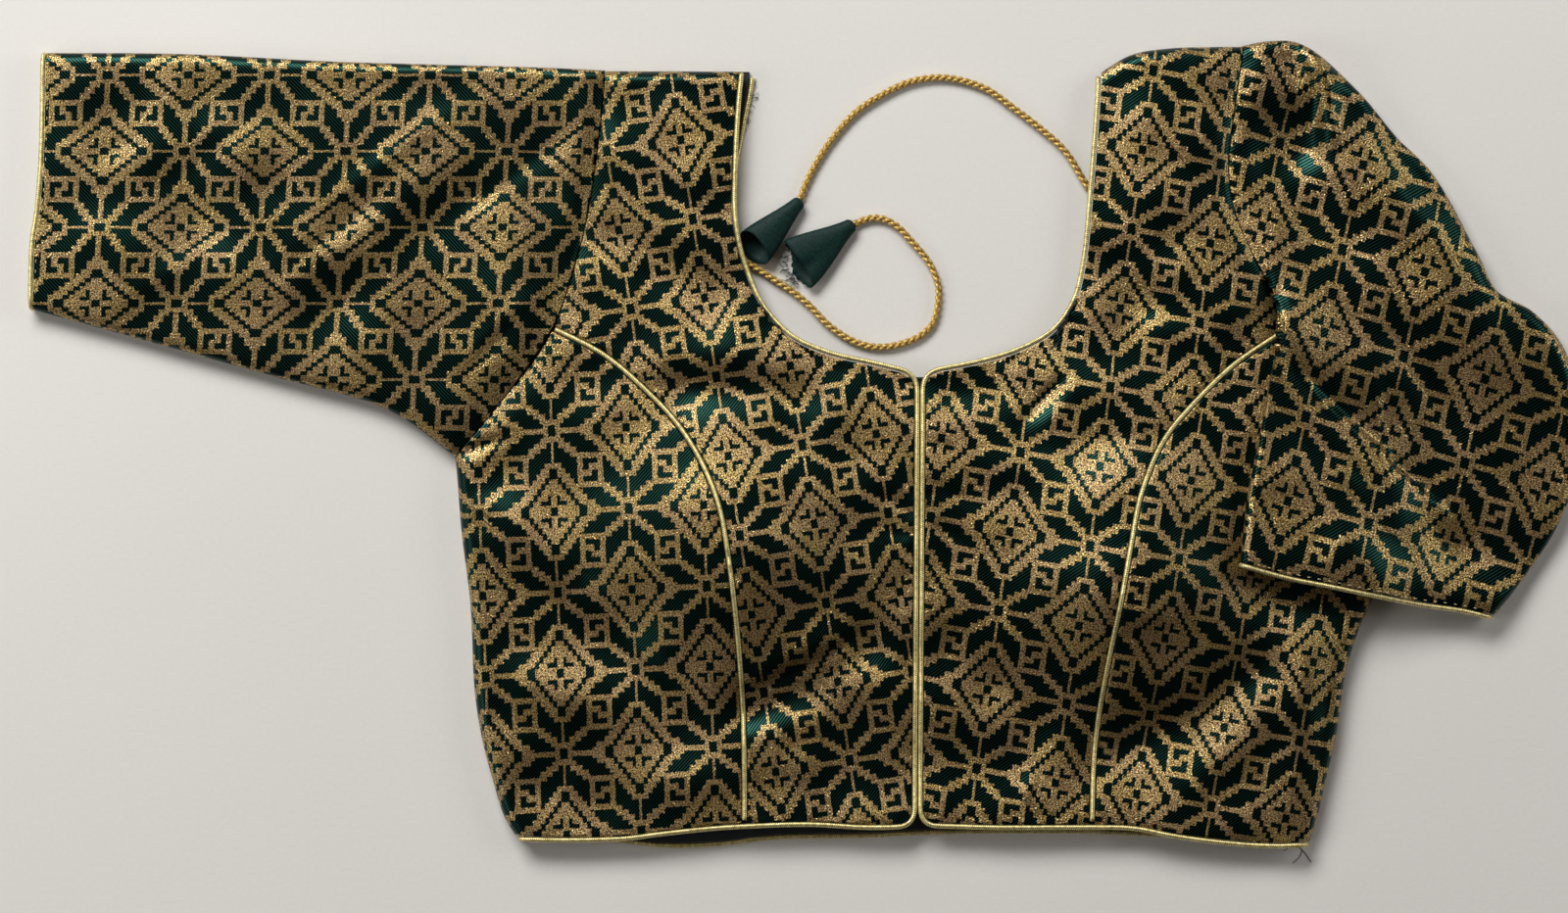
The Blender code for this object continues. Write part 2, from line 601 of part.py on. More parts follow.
def side_front(side):
    """A side front, from the folded side in to the princess seam."""
    lines = front_lines(side)
    edge, armhole, seam, outer = lines["edge"], lines["armhole"], lines["side seam"], lines["side"]
    top = stretch(armhole, outer, seam)
    hem = stretch(edge, outer, seam)
    sides = stretch(outer, armhole, edge), stretch(seam, armhole, edge)
    across = steps(top, ROLL_STEPS, SIDE_COLUMNS)
    down = steps(sides[0], SEAM_STEPS, SIDE_ROWS)[:, None]
    sheet = raised(coons((top, hem, *sides), across, down), lambda p: front_top(p, side))
    foot = sheet[:, :1].copy()
    foot[..., 2] = FOOT_BOTTOM
    return cloth(f"front_side_{side}", [np.concatenate([foot, sheet], axis=1)], "brocade")


def section(layers, lower_across, v, faces, inside=0.0):
    """A ring of points round a sleeve laid flat, some distance inside its outer face.

    layers are the four lines round its upper and its lower layer, lower_across the lower one's own
    fractions across, from the last fold back to the first, and faces the heights of both.
    """
    upper, lower = layers
    top_of, under_of = faces
    folds = coons(upper, [0.0, 1.0], v)
    width = np.linalg.norm(folds[1] - folds[0])
    radius = (top_of(folds) - under_of(folds)) / 2 - inside
    turn_in = radius * (1 - np.sqrt(0.5))
    edge, corner = inside / width, (inside + turn_in) / width
    first, last = (inside + radius[0]) / width, 1 - (inside + radius[1]) / width
    upper_across = [edge, corner[0], *np.linspace(first, last, SLEEVE_COLUMNS + 1), 1 - corner[1], 1 - edge]
    under_across = [1 - corner[1], last, *lower_across, first, corner[0]]
    half_way = np.sqrt(0.5)
    upper_rise = [0.0, half_way, *[1.0] * (SLEEVE_COLUMNS + 1), half_way, 0.0]
    lower_rise = [-half_way, *[-1.0] * (len(lower_across) + 2), -half_way]
    plan = np.vstack([coons(upper, upper_across, v), coons(lower, under_across, v)])
    under, top = under_of(plan), top_of(plan)
    z = (top + under) / 2 + np.array(upper_rise + lower_rise) * ((top - under) / 2 - inside)
    return np.column_stack([plan, z])


def sleeve(side):
    """A sleeve laid flat: a tube with a fold along each edge."""
    layers, lower_across, stations, faces = SLEEVES[side](PIPE_INSET)
    rings = [section(layers, lower_across, v, faces) for v in stations]
    return cloth(f"sleeve_{side}", [rings], "brocade", rings=True)


def cuff_piping(side):
    layers, lower_across, _, faces = SLEEVES[side](0.0)
    ring = section(layers, lower_across, 1.0, faces, WALL / 2)
    ring[:, 2] = np.maximum(ring[:, 2], PIPE_RADIUS + SURFACE_GAP)
    return tube(f"piping_cuff_{side}", ring, PIPE_RADIUS, "piping", ring=True)


def straight_sleeve(cuff_inset):
    """The lines, divisions and heights of the right sleeve, with its end moved in from the cuff line."""
    armhole = shifted(spline(ARMHOLE["right"]), -SEAM_GAP)
    cuff = shifted(spline(CUFF_RIGHT), cuff_inset)
    folds = spline(SLEEVE_RIGHT_TOP), spline(SLEEVE_RIGHT_BOTTOM)
    lines = (
        stretch(armhole, *folds), stretch(cuff, *folds),
        stretch(folds[0], armhole, cuff), stretch(folds[1], armhole, cuff),
    )
    stations = steps(lines[2], SEAM_STEPS, SLEEVE_RIGHT_ROWS)
    return (lines, lines), FLAT_LAYER, stations, (sleeve_right_top, flat)


def folded_sleeve(cuff_inset):
    """The same for the left sleeve, whose lower layer runs on round the armhole under its inner fold."""
    seam = spline(ARMHOLE["left"])
    armhole, back_armhole = shifted(seam, SEAM_GAP), shifted(spline(BACK_ARMHOLE_LEFT), 2 * SEAM_GAP)
    cuff = shifted(spline(CUFF_LEFT), -cuff_inset)
    outer, inner = spline(SLEEVE_LEFT_OUTER), spline(SLEEVE_LEFT_INNER)
    end = stretch(cuff, outer, inner)
    folds = stretch(outer, armhole, cuff), stretch(inner, armhole, cuff)
    upper = stretch(armhole, outer, inner), end, *folds

    front_armhole = lower_armhole()[::-1]
    outer_crossing = crossing(back_armhole, outer)[0]
    back_armhole = between(back_armhole, outer_crossing, nearest(back_armhole, front_armhole[0]))
    under_armhole = np.vstack([back_armhole, front_armhole])
    underarm = reach_of(back_armhole)[-1] / reach_of(under_armhole)[-1]
    lower = under_armhole, end, stretch(outer, back_armhole, cuff), stretch(inner, seam, cuff)
    first, last = UNDER_SPAN
    lower_across = [*np.linspace(first, underarm, 5), *np.linspace(underarm, last, 6)[1:]]
    stations = steps(folds[0], CAP_STEPS, SLEEVE_LEFT_ROWS)
    return (upper, lower), lower_across, stations, (sleeve_left_top, sleeve_left_under)


SLEEVES = {"right": straight_sleeve, "left": folded_sleeve}


def lower_armhole():
    """The left front armhole under the folded sleeve, from where the fold crosses it to the underarm."""
    return stretch(spline(ARMHOLE["left"]), spline(SLEEVE_LEFT_INNER), spline(SIDE["left"]))


def back():
    """The back: one flat piece inside its piping."""
    lines = [
        shifted(spline(BACK_NECK), -PIPE_INSET),
        spline(SHOULDER["left"]),
        shifted(spline(BACK_ARMHOLE_LEFT), -SEAM_GAP / 2),
        spline(SIDE["left"]),
        shifted(spline(BACK_HEM), PIPE_INSET),
        spline(SIDE["right"]),
        shifted(spline(ARMHOLE["right"]), SEAM_GAP / 2),
        spline(SHOULDER["right"]),
    ]
    rim = np.vstack([thinned(line, OUTLINE_STEP)[:-1] for line in outline(lines)])
    curve = bpy.data.curves.new("back", "CURVE")
    curve.dimensions = "2D"
    curve.fill_mode = "BOTH"
    curve.extrude = WALL / 2 * MM
    path = curve.splines.new("POLY")
    path.points.add(len(rim) - 1)
    for point, place in zip(path.points, rim):
        point.co = (*(place * MM), 0.0, 1.0)
    path.use_cyclic_u = True
    obj = new_object("back", curve, "brocade")
    obj.location.z = WALL / 2 * MM
    return obj


def placket():
    """The facing behind the centre opening, below both pipings."""
    centre = (spline(CENTRE_FRONT["right"]) + spline(CENTRE_FRONT["left"])) / 2
    centre = evenly(centre, PLACKET_ROWS)[:, None] * np.ones((1, 3, 1))
    centre[0, :, 1] -= PLACKET_TOP
    centre[-1, :, 1] += PLACKET_BOTTOM
    rows = centre + np.array([[-PLACKET_HALF_WIDTH, 0.0], [0.0, 0.0], [PLACKET_HALF_WIDTH, 0.0]])
    fronts = [front_top(rows.reshape(-1, 2), side).reshape(rows.shape[:2]) for side in INWARD]
    below_piping = np.min(fronts, axis=0).min(axis=1) - WALL / 2 - PIPE_RADIUS - PLACKET_GAP
    z = below_piping[:, None] * np.ones((1, 3))
    return cloth("placket", [np.dstack([rows, z])], "lining", wall=PLACKET_WALL)


def edge_piping(side):
    """The piping round a front's neck, centre and hem, at the middle of the wall's edge."""
    edge = front_edge(side)
    start = crossing(edge, spline(SHOULDER[side]))[0] + PIPE_END
    end = crossing(edge, spline(SIDE[side]))[0] - PIPE_END
    line = thinned(between(edge, start, end), OUTLINE_STEP)
    z = front_top(line, side) - WALL / 2
    return tube(f"piping_edge_{side}", np.column_stack([line, z]), PIPE_RADIUS, "piping")


def princess_piping(side):
    """The piping in a princess seam, half sunk between the panels."""
    seam = spline(PRINCESS[side])
    start = crossing(seam, spline(ARMHOLE[side]))[0] + PIPE_END
    end = crossing(seam, front_edge(side))[0] - 2 * PIPE_RADIUS - 2 * SEAM_GAP
    line = thinned(between(seam, start, end), OUTLINE_STEP)
    z = front_top(line, side) - PIPE_SINK
    return tube(f"piping_princess_{side}", np.column_stack([line, z]), PIPE_RADIUS, "piping")


def back_piping(name, points, sides):
    """A piping on the back's edge, on the surface between two other lines."""
    line = spline(points)
    start, end = (crossing(line, spline(side))[0] for side in sides)
    line = thinned(between(line, start + 2 * PIPE_END, end - 2 * PIPE_END), OUTLINE_STEP)
    z = np.full(len(line), PIPE_RADIUS + SURFACE_GAP)
    return tube(name, np.column_stack([line, z]), PIPE_RADIUS, "piping")


def dori(side):
    """A tie cord lying on the surface."""
    line = spaced(spline(DORI[side]), CORD_STEP)
    z = np.full(len(line), CORD_RADIUS + SURFACE_GAP)
    return tube(f"dori_{side}", np.column_stack([line, z]), CORD_RADIUS, "dori", sides=8)


def tassel(side):
    """A flattened fabric cone, closed at the cord and open at its mouth."""
    form = TASSELS[side]
    closed, mouth = np.array(form["closed"]), np.array(form["mouth"])
    along = (mouth - closed) / np.linalg.norm(mouth - closed)
    sideways = np.array([-along[1], along[0]])
    angles = np.linspace(0.0, 2 * np.pi, TASSEL_SIDES, endpoint=False)
    rings = []
    for f in np.linspace(0.0, 1.0, TASSEL_RINGS + 1):
        flare = ease(FLARE_START + FLARE_SHARE * f) / ease(FLARE_START + FLARE_SHARE)
        half_width = TASSEL_NECK + (form["half_width"] - TASSEL_NECK) * flare
        half_height = TASSEL_NECK + (form["half_height"] - TASSEL_NECK) * f
        plan = closed + f * (mouth - closed) + np.outer(np.cos(angles) * half_width, sideways)
        rings.append(np.column_stack([plan, half_height * (1 + np.sin(angles)) + SURFACE_GAP]))
    return cloth(f"tassel_{side}", [rings], "satin", wall=TASSEL_WALL, rings=True, cap=True)


# The whole blouse


def make_materials():
    for name, look in MATERIALS.items():
        material = bpy.data.materials.new(name)
        material.use_nodes = True
        shader = material.node_tree.nodes["Principled BSDF"]
        shader.inputs["Base Color"].default_value = (*look["base"], 1.0)
        shader.inputs["Metallic"].default_value = look["metallic"]
        shader.inputs["Roughness"].default_value = look["roughness"]


def place_origin(garment, everything):
    """Parents the pieces to an empty that puts the middle of the garment's base at the world's origin."""
    bpy.context.view_layer.update()
    graph = bpy.context.evaluated_depsgraph_get()
    corners = []
    for obj in garment:
        mesh = obj.evaluated_get(graph).to_mesh()
        points = np.empty(len(mesh.vertices) * 3, np.float32)
        mesh.vertices.foreach_get("co", points)
        corners += [points.reshape(-1, 3).min(axis=0), points.reshape(-1, 3).max(axis=0)]
    middle = (np.min(corners, axis=0) + np.max(corners, axis=0)) / 2
    origin = bpy.data.objects.new("origin", None)
    bpy.data.collections[COLLECTION].objects.link(origin)
    origin.location = (-middle[0], -middle[1], 0.0)
    for obj in everything:
        obj.parent = origin


def main():
    for obj in list(bpy.data.objects):
        bpy.data.objects.remove(obj)
    bpy.context.scene.collection.children.link(bpy.data.collections.new(COLLECTION))
    make_materials()
    garment = [back(), placket()]
    for side in ("right", "left"):
        garment += [centre_front(side), side_front(side), sleeve(side)]
        garment += [edge_piping(side), princess_piping(side), cuff_piping(side)]
    garment.append(back_piping("piping_back_neck", BACK_NECK, (SHOULDER["right"], SHOULDER["left"])))
    garment.append(back_piping("piping_back_hem", BACK_HEM, (SIDE["right"], SIDE["left"])))
    ties = [make(side) for side in ("right", "left") for make in (dori, tassel)]
    place_origin(garment, garment + ties)


main()
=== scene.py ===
"""The looks of a choli blouse laid flat on its back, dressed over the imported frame.

Tables are in millimetres in the tailor's frame: x runs from the centre front towards the wearer's
left, y from the hem up to the shoulders and z up from the surface. Sides are the wearer's. Each
piece of cloth is a fine sheet on its solid's form, with creases, and its weave is laid out from a
star of the brocade's repeat.
"""

from functools import partialmethod

import bmesh
import bpy
import numpy as np
from mathutils import Matrix, Vector

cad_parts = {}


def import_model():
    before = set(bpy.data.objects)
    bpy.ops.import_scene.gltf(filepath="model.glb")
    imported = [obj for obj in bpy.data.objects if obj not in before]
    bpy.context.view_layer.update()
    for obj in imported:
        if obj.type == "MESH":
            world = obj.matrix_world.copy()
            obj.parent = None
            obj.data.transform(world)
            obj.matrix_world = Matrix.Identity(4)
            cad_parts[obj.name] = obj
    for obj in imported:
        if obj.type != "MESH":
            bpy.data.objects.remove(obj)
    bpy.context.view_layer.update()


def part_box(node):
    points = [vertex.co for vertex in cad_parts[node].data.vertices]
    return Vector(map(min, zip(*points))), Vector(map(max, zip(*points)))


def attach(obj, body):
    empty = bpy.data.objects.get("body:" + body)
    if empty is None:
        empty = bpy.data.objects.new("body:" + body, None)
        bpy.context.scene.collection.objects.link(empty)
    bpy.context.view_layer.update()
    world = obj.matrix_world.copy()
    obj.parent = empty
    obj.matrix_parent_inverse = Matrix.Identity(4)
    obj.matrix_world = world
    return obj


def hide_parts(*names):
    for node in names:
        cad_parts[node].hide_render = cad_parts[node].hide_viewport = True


MM = 0.001

# Cloth, seams and trim, as in the solids
WALL = 1.5
SEAM_GAP = 0.3
PIPE_RADIUS = 1.25
PIPE_INSET = PIPE_RADIUS + SEAM_GAP
CORD_RADIUS = 1.9
TASSEL_WALL = 0.8
SURFACE_GAP = 0.02
PIPE_END = 1.5
PIPE_SINK = 0.3
PLACKET_HALF_WIDTH, PLACKET_WALL = 9.0, 1.0
PLACKET_TOP, PLACKET_BOTTOM = 3.0, 4.0
PLACKET_GAP = 0.5

# Heights of the upper layer's outer face
PLATEAU = 11.2
NECK_DROP, NECK_DROP_REACH = 2.6, 16.0
FOOT_BOTTOM = WALL + SEAM_GAP
FOOT_TOP = 3.0
BODY_ROLL = 6.0
SEAM_DIP, SEAM_DIP_REACH = 1.6, 6.0
DIP_END = 20.0
REST_CLEARANCE = 1.8
SLEEVE_THICKNESS, THINNEST_SLEEVE, THINNING = 10.2, 3.6, 1.2
UNDERSIDE_FALL = {"beside": (38.0, -2.0), "ahead": (10.0, 0.0)}
UPPER_FACE_FALL = {"beside": (45.0, 20.0), "ahead": (34.0, 30.0)}

# Seam lines: x, y
CENTRE_CORNER, CORNER_STEPS = 9.0, 7  # rounding of a front's corners at the neck and the hem
CENTRE_FRONT = {"right": [(-0.9, 237.5), (-2.4, 12)], "left": [(1.9, 238), (0.4, 12.5)]}
NECK = {
    "right": [
        (-88, 392), (-90, 372), (-91.5, 345), (-91.5, 314), (-86.5, 291.5), (-77, 270.5), (-63, 256),
        (-45.5, 248), (-22, 242.5), (-0.9, 237.5),
    ],
    "left": [
        (90, 393), (88, 362), (85, 324), (82, 294), (77, 274), (67, 259.5), (52, 250.5), (32, 244),
        (1.9, 238),
    ],
}
HEM = {
    "right": [
        (-2.4, 12), (-25, 11.5), (-56, 13), (-95, 11.5), (-126, 8.5), (-147, 5.8), (-180, 5), (-212, 6),
    ],
    "left": [
        (0.4, 12.5), (37, 11.5), (79, 11.5), (106, 11), (128, 7), (150, 4), (172, 2.2), (204, 3),
    ],
}
SHOULDER = {
    "right": [(-164, 388.7), (-120, 388.5), (-80, 388.3)],
    "left": [
        (168, 400.8), (144, 400.6), (126, 400), (107, 397), (95, 390.5), (84, 382),
    ],
}
ARMHOLE = {
    "right": [
        (-156, 394), (-157.5, 372), (-163.5, 325.5), (-170, 296), (-181.5, 262), (-194, 242),
        (-210, 221), (-231.5, 195), (-238, 187),
    ],
    "left": [
        (162.5, 407), (157.5, 372), (154, 341), (157, 319), (166, 297), (176, 278), (180, 262),
        (184.5, 245), (197, 226), (212, 211), (229.5, 196.5), (238, 190),
    ],
}
BACK_ARMHOLE_LEFT = [
    (159, 407), (171.5, 364.5), (186, 316), (201, 267), (215.5, 223.5), (233, 189),
]
SIDE = {
    "right": [
        (-232.5, 203), (-231, 190), (-228.5, 159), (-224, 121.5), (-222, 80), (-218.5, 56.5),
        (-212, 31.5), (-207, 16), (-199, 3),
    ],
    "left": [
        (230, 205), (229.5, 190), (229, 160), (226, 124), (220, 110), (213.5, 89), (208.5, 56.5),
        (204, 37), (198.5, 14), (194, 0),
    ],
}
PRINCESS = {
    "right": [
        (-192, 264), (-181.5, 259.5), (-156, 246), (-136.5, 229.5), (-120, 212), (-107, 191),
        (-99, 170), (-95, 148), (-91, 115), (-88, 75), (-87, 40), (-87, 6),
    ],
    "left": [
        (190, 263), (179.5, 257), (157, 242), (138.5, 224.5), (122, 205), (110, 179), (104, 152),
        (98, 119), (92, 85), (87.5, 50), (85.5, 5),
    ],
}
STRAP_END = {"right": (-78.5, 273), "left": (77.5, 275.5)}  # near the neck's edge, where the strap ends
BACK_NECK = [
    (-82.5, 394), (-83.5, 383), (-88, 360), (-93, 332), (-95, 293), (-93.5, 247.5), (-86, 204),
    (-67.5, 177), (-38, 162.5), (-1.5, 157.5), (35, 162.5), (65.5, 177), (83, 204), (89.5, 247.5),
    (91, 293), (91, 332), (93, 360), (98, 396),
]
BACK_HEM = [
    (-212, 8), (-180, 6.5), (-150, 4), (-128, 1.5), (-103, 2), (-71.5, 5.5), (-25, 6.5), (6.5, 8),
    (79, 8.5), (127, 6.5), (172, 4.5), (206, 5),
]
SLEEVE_RIGHT_TOP = [(-150, 388.6), (-194, 390.5), (-286.5, 393), (-369.5, 397), (-440, 397.5)]
SLEEVE_RIGHT_BOTTOM = [
    (-223, 188), (-232.5, 196.5), (-265.5, 219.5), (-320.5, 235.5), (-395.5, 256.5), (-436, 267.5),
    (-450, 271),
]
CUFF_RIGHT = [
    (-436, 404), (-436.5, 385), (-437.5, 341), (-439.5, 318), (-441.5, 305), (-442.5, 286.5),
    (-442.5, 262),
]
SLEEVE_LEFT_OUTER = [
    (154, 399), (161.5, 401), (176, 403.5), (190, 402), (219, 378.5), (239, 355), (256, 338),
    (279, 297), (288, 279), (306, 268.5), (321, 251.5), (328.5, 225), (328.5, 189), (318.5, 161),
    (303, 137), (286, 115.5), (280, 107.5),
]
SLEEVE_LEFT_INNER = [
    (182.5, 268), (180, 259.5), (175.5, 243), (169.5, 211), (162.5, 178.5), (158, 142.5), (157, 133),
]
CUFF_LEFT = [
    (296, 113), (286, 115.5), (269, 119.5), (248, 122.5), (225.5, 127), (203.5, 131.5), (181, 136),
    (158, 142.5), (149, 145.5),
]
BODY_BESIDE_CAP = (110.0, 275.0)  # above a line from here the folded sleeve lies beside the front

# Fullness of the front. Domes: x, y, half-width across, below and above, height
DOMES = (
    {"x": -97.5, "y": 153.0, "across": 50.0, "below": 44.0, "above": 56.0, "height": 16.0},
    {"x": 103.5, "y": 140.0, "across": 45.0, "below": 42.0, "above": 58.0, "height": 16.5},
)
# The largest folds: x and y of both ends, the half-width and the height or, below 0, depth
FOLDS = {
    "front": (
        (-176, 122, -116, 68, 13, -3), (-84, 68, -26, 101, 11, -3.2), (-124, 34, -60, 44, 12, 2.4),
        (-190, 80, -178, 74, 14, 3), (-184, 28, -156, 24, 13, -2), (-116, 231, -58, 226, 11, -2.8),
        (-140, 244, -75, 243, 12, 1.4), (-152, 304, -102, 277, 12, -2.2), (18, 99, 56, 64, 13, -2.6),
        (100, 50, 166, 88, 13, -3.6), (138, 34, 192, 84, 11, 2.5), (8, 200, 62, 206, 13, 1.6),
        (18, 227, 54, 229, 9, -1.6), (84, 218, 106, 220, 10, -0.8), (100, 290, 108, 268, 11, -2.2),
        (132, 288, 152, 268, 12, 2),
    ),
    "sleeve_right": (
        (-198, 366, -310, 288, 16, 1.6), (-225, 326, -299, 266, 12, -1.2),
        (-370, 372, -338, 340, 13, 2.4), (-376, 332, -352, 308, 13, -2),
        (-204, 330, -196, 292, 14, 1.8), (-412, 300, -400, 292, 15, 2),
    ),
    "sleeve_left": (
        (196, 392, 203, 356, 8, 2.8), (186, 392, 192, 350, 9, -4), (222, 350, 266, 296, 15, 3),
        (200, 318, 246, 262, 16, -2.4), (188, 232, 206, 216, 14, -1.4), (210, 152, 222, 142, 13, 2),
        (268, 128, 286, 124, 12, 1.6),
    ),
}

# Where the folded sleeve is bunched so tightly that it crosses itself, so both its sides are brocade:
# x, y and reach
BUNCHED = ((177.0, 264.0, 24.0), (237.0, 192.0, 10.0))

# The tie cords' routes on the surface: x, y
DORI = {
    "left": [
        (85.2, 329.6), (83, 333), (73, 349), (61, 360), (46.5, 371), (34.5, 379.5), (20, 384.5),
        (8, 385.5), (-5.5, 383), (-19, 376.5), (-31, 368.5), (-42, 356.5), (-50.5, 344), (-56.6, 332),
        (-59.5, 324),
    ],
    "right": [
        (-91.2, 296), (-86, 293), (-80, 289.5), (-71.5, 284), (-63, 278.5), (-54, 271), (-47.5, 264),
        (-40, 258), (-32, 253.5), (-23.5, 251), (-15, 251), (-6.5, 253), (1, 256.5), (7, 262.5),
        (9.5, 271), (10, 280), (8, 287.5), (3.5, 295.5), (-3, 303), (-10, 310.5), (-16.5, 314.5),
        (-23.5, 315.3), (-29, 313.7), (-33.4, 311.7),
    ],
}
# Tassels: the middles of the closed end and of the mouth, the mouth's half-width and half-height, how far
# its lower edge runs on and its upper edge is drawn back at its two sides, how ragged the lower edge is,
# and how deep the upper one is crushed
TASSELS = {
    "left": {
        "closed": (-60.2, 322.6), "mouth": (-82.0, 300.8), "half_width": 10.0, "half_height": 5.2,
        "lip": (5.0, 6.5), "drawn_back": (4.5, 3.5), "ragged": 0.0, "crush": 0.0,
    },
    "right": {
        "closed": (-34.2, 311.3), "mouth": (-59.4, 293.2), "half_width": 13.4, "half_height": 4.2,
        "lip": (0.5, 6.0), "drawn_back": (0.0, 0.5), "ragged": 0.8, "crush": 0.45,
    },
}

# Broad slopes: x and y of the middle, the reach across the heading and along it, the heading in degrees
# to the left of straight up, and how steeply the slope faces it or, below 0, faces away
SWELLS = {
    "front": (
        (-108, 362, 18, 28, 0, 0.07), (-206, 174, 20, 20, 0, 0.26), (-190, 206, 11, 22, 20, 0.09),
        (-102, 260, 30, 12, 0, 0.04), (-58, 188, 42, 18, 0, 0.15), (-28, 148, 15, 30, 20, 0.06),
        (-154, 124, 20, 26, 0, -0.22), (-146, 214, 16, 12, 0, -0.12), (94, 236, 26, 16, 0, 0.13),
        (97, 209, 22, 8, 0, -0.14), (154, 222, 13, 18, -20, 0.09), (75, 150, 34, 28, 0, 0.05),
        (44, 27, 46, 22, 0, 0.2), (136, 27, 36, 20, 0, 0.16), (192, 114, 30, 24, 0, 0.28),
        (118, 376, 12, 15, 0, 0.08), (156, 378, 9, 16, 0, -0.1), (120, 318, 34, 44, 0, -0.06),
        (-84, 130, 40, 34, 0, 0.2), (-72, 28, 60, 24, 0, 0.16), (104, 132, 26, 34, 0, 0.18),
        (-203, 96, 14, 14, 0, 0.08), (44, 196, 38, 12, 0, 0.2), (122, 70, 34, 20, 0, -0.24),
        (-46, 80, 24, 14, -30, -0.12), (110, 286, 16, 26, 0, -0.14), (200, 66, 44, 16, 90, -0.4),
        (-88, 244, 16, 10, 0, -0.08), (98, 188, 42, 22, 0, 0.14), (-76, 164, 24, 28, 0, 0.18),
        (-52, 112, 20, 16, 0, 0.16),
    ),
    "sleeve_right": (
        (-200, 272, 26, 28, 0, 0.08), (-282, 256, 16, 16, 0, 0.1), (-246, 266, 13, 10, 0, -0.08),
        (-240, 228, 13, 12, 0, 0.12), (-362, 322, 16, 12, 0, -0.06), (-384, 380, 26, 16, 0, -0.2),
        (-280, 330, 36, 20, 30, -0.05), (-200, 318, 26, 56, 0, 0.12), (-230, 372, 16, 16, 0, 0.12),
        (-217, 312, 10, 10, 0, -0.1), (-330, 318, 26, 18, 0, 0.07),
    ),
    "sleeve_left": (
        (188, 370, 17, 30, -20, -0.42), (242, 326, 46, 18, -50, 0.42), (232, 266, 34, 26, -40, -0.28),
        (270, 192, 18, 12, 0, -0.12), (208, 226, 48, 36, -30, -0.4), (268, 240, 36, 34, -40, -0.24),
        (178, 178, 18, 14, 0, -0.16), (216, 164, 13, 15, 0, 0.12), (238, 158, 9, 16, 0, -0.16),
        (272, 136, 30, 18, -10, 0.36), (188, 148, 24, 12, 0, 0.14),
    ),
}

# Creases finer than the solids' folds, given as those are
CREASES = {
    "front": (
        (-85.5, 78.4, -43, 98.9, 3.2, -2), (-43, 98.9, -27.5, 109.2, 3, -1.3),
        (-84, 87, -46, 106.5, 4, 1), (-74.6, 234.5, -62.4, 217.9, 3.2, -1.4),
        (-101.4, 146.7, -87.3, 146, 2.6, -1), (-100, 139, -88, 137.5, 2.4, -0.7),
        (-96.5, 52.7, -42.9, 67.3, 7, 1.2), (-182, 45, -168, 40, 9, -1.1),
        (-178.4, 194, -177, 166.2, 5, -1.3), (-232, 195.5, -207, 205.5, 2.6, -2.6),
        (-227.5, 166, -214, 158, 3, -1.6), (-169.7, 135.5, -125.8, 86.8, 4.5, -1),
        (-226, 176, -208, 168, 5, 0.9), (-200, 96, -184, 60, 6, -0.9),
        (71.7, 235.5, 51.7, 212.6, 3.4, -1.8), (77, 228, 60, 208, 4, 0.8),
        (92.1, 136.5, 101.4, 131.6, 2.8, -1.2), (100.4, 114.6, 119, 119.9, 4.5, 1.3),
        (98, 106, 108, 108, 3, -0.8), (-22, 178, -6, 170, 3.4, -0.9), (-18, 160, -5, 156, 3, -0.8),
        (8, 182, 26, 172, 3.4, -0.9), (6, 162, 22, 154, 3, -0.8), (5, 203, 18, 199, 3, -0.6),
        (49.7, 33.2, 58, 30, 7, 1.1), (93.6, 38, 98, 30, 6, 0.9), (62, 62, 40, 90, 6, -0.9),
        (168, 62, 196, 92, 7, -1.3), (-136, 336, -104, 316, 6, -0.8), (-150, 300, -118, 284, 6, 0.8),
        (104, 352, 142, 334, 6, -0.8), (98, 268, 146, 252, 6, 0.7),
    ),
    "sleeve_right": (
        (-236, 366, -300, 318, 5, 0.9), (-262, 330, -322, 284, 5, -0.9),
        (-176, 356, -226, 318, 5.5, -0.8), (-184, 282, -222, 250, 5, 0.9),
        (-196, 270, -226, 236, 4, -0.8), (-330, 366, -372, 332, 5.5, -0.7),
        (-352, 300, -404, 270, 6, 0.7), (-384, 356, -420, 340, 6, -0.6),
    ),
    "sleeve_left": (
        (195, 396, 203, 380, 3, 0.7), (202.8, 384, 204, 354, 3.2, 1.3), (188, 394, 197, 374, 4, -2.6),
        (196.5, 384, 197.5, 350, 3.8, -2.8), (269.6, 313, 280.8, 297.4, 2.6, -1.8),
        (225, 346, 264, 300, 6, 1), (214, 332, 250, 282, 5, -0.9), (200, 300, 232, 262, 5.5, 0.8),
        (236, 256, 276, 196, 5.5, -0.9), (262, 240, 292, 196, 6, 0.9), (196, 204, 222, 176, 5, 0.8),
        (250, 168, 270, 140, 6, -0.8),
    ),
}
RUMPLE = {"height": 0.28, "shortest": 26.0, "longest": 62.0, "count": 14}
PUCKER = {"height": 0.16, "shortest": 5.0, "longest": 11.0, "count": 18}
PUCKER_REACH = 6.0
SEEDS = {"front": 11, "sleeve_right": 21, "sleeve_left": 31}  # of the rumples; the puckers' seeds follow
CREASE_ENDS = 0.35  # share of a crease's height that is left at its ends
SEAM_SINK, SEAM_SINK_REACH = 0.7, 1.5
EDGE_SINK = 0.5  # share of a seam's sink that a piped edge has

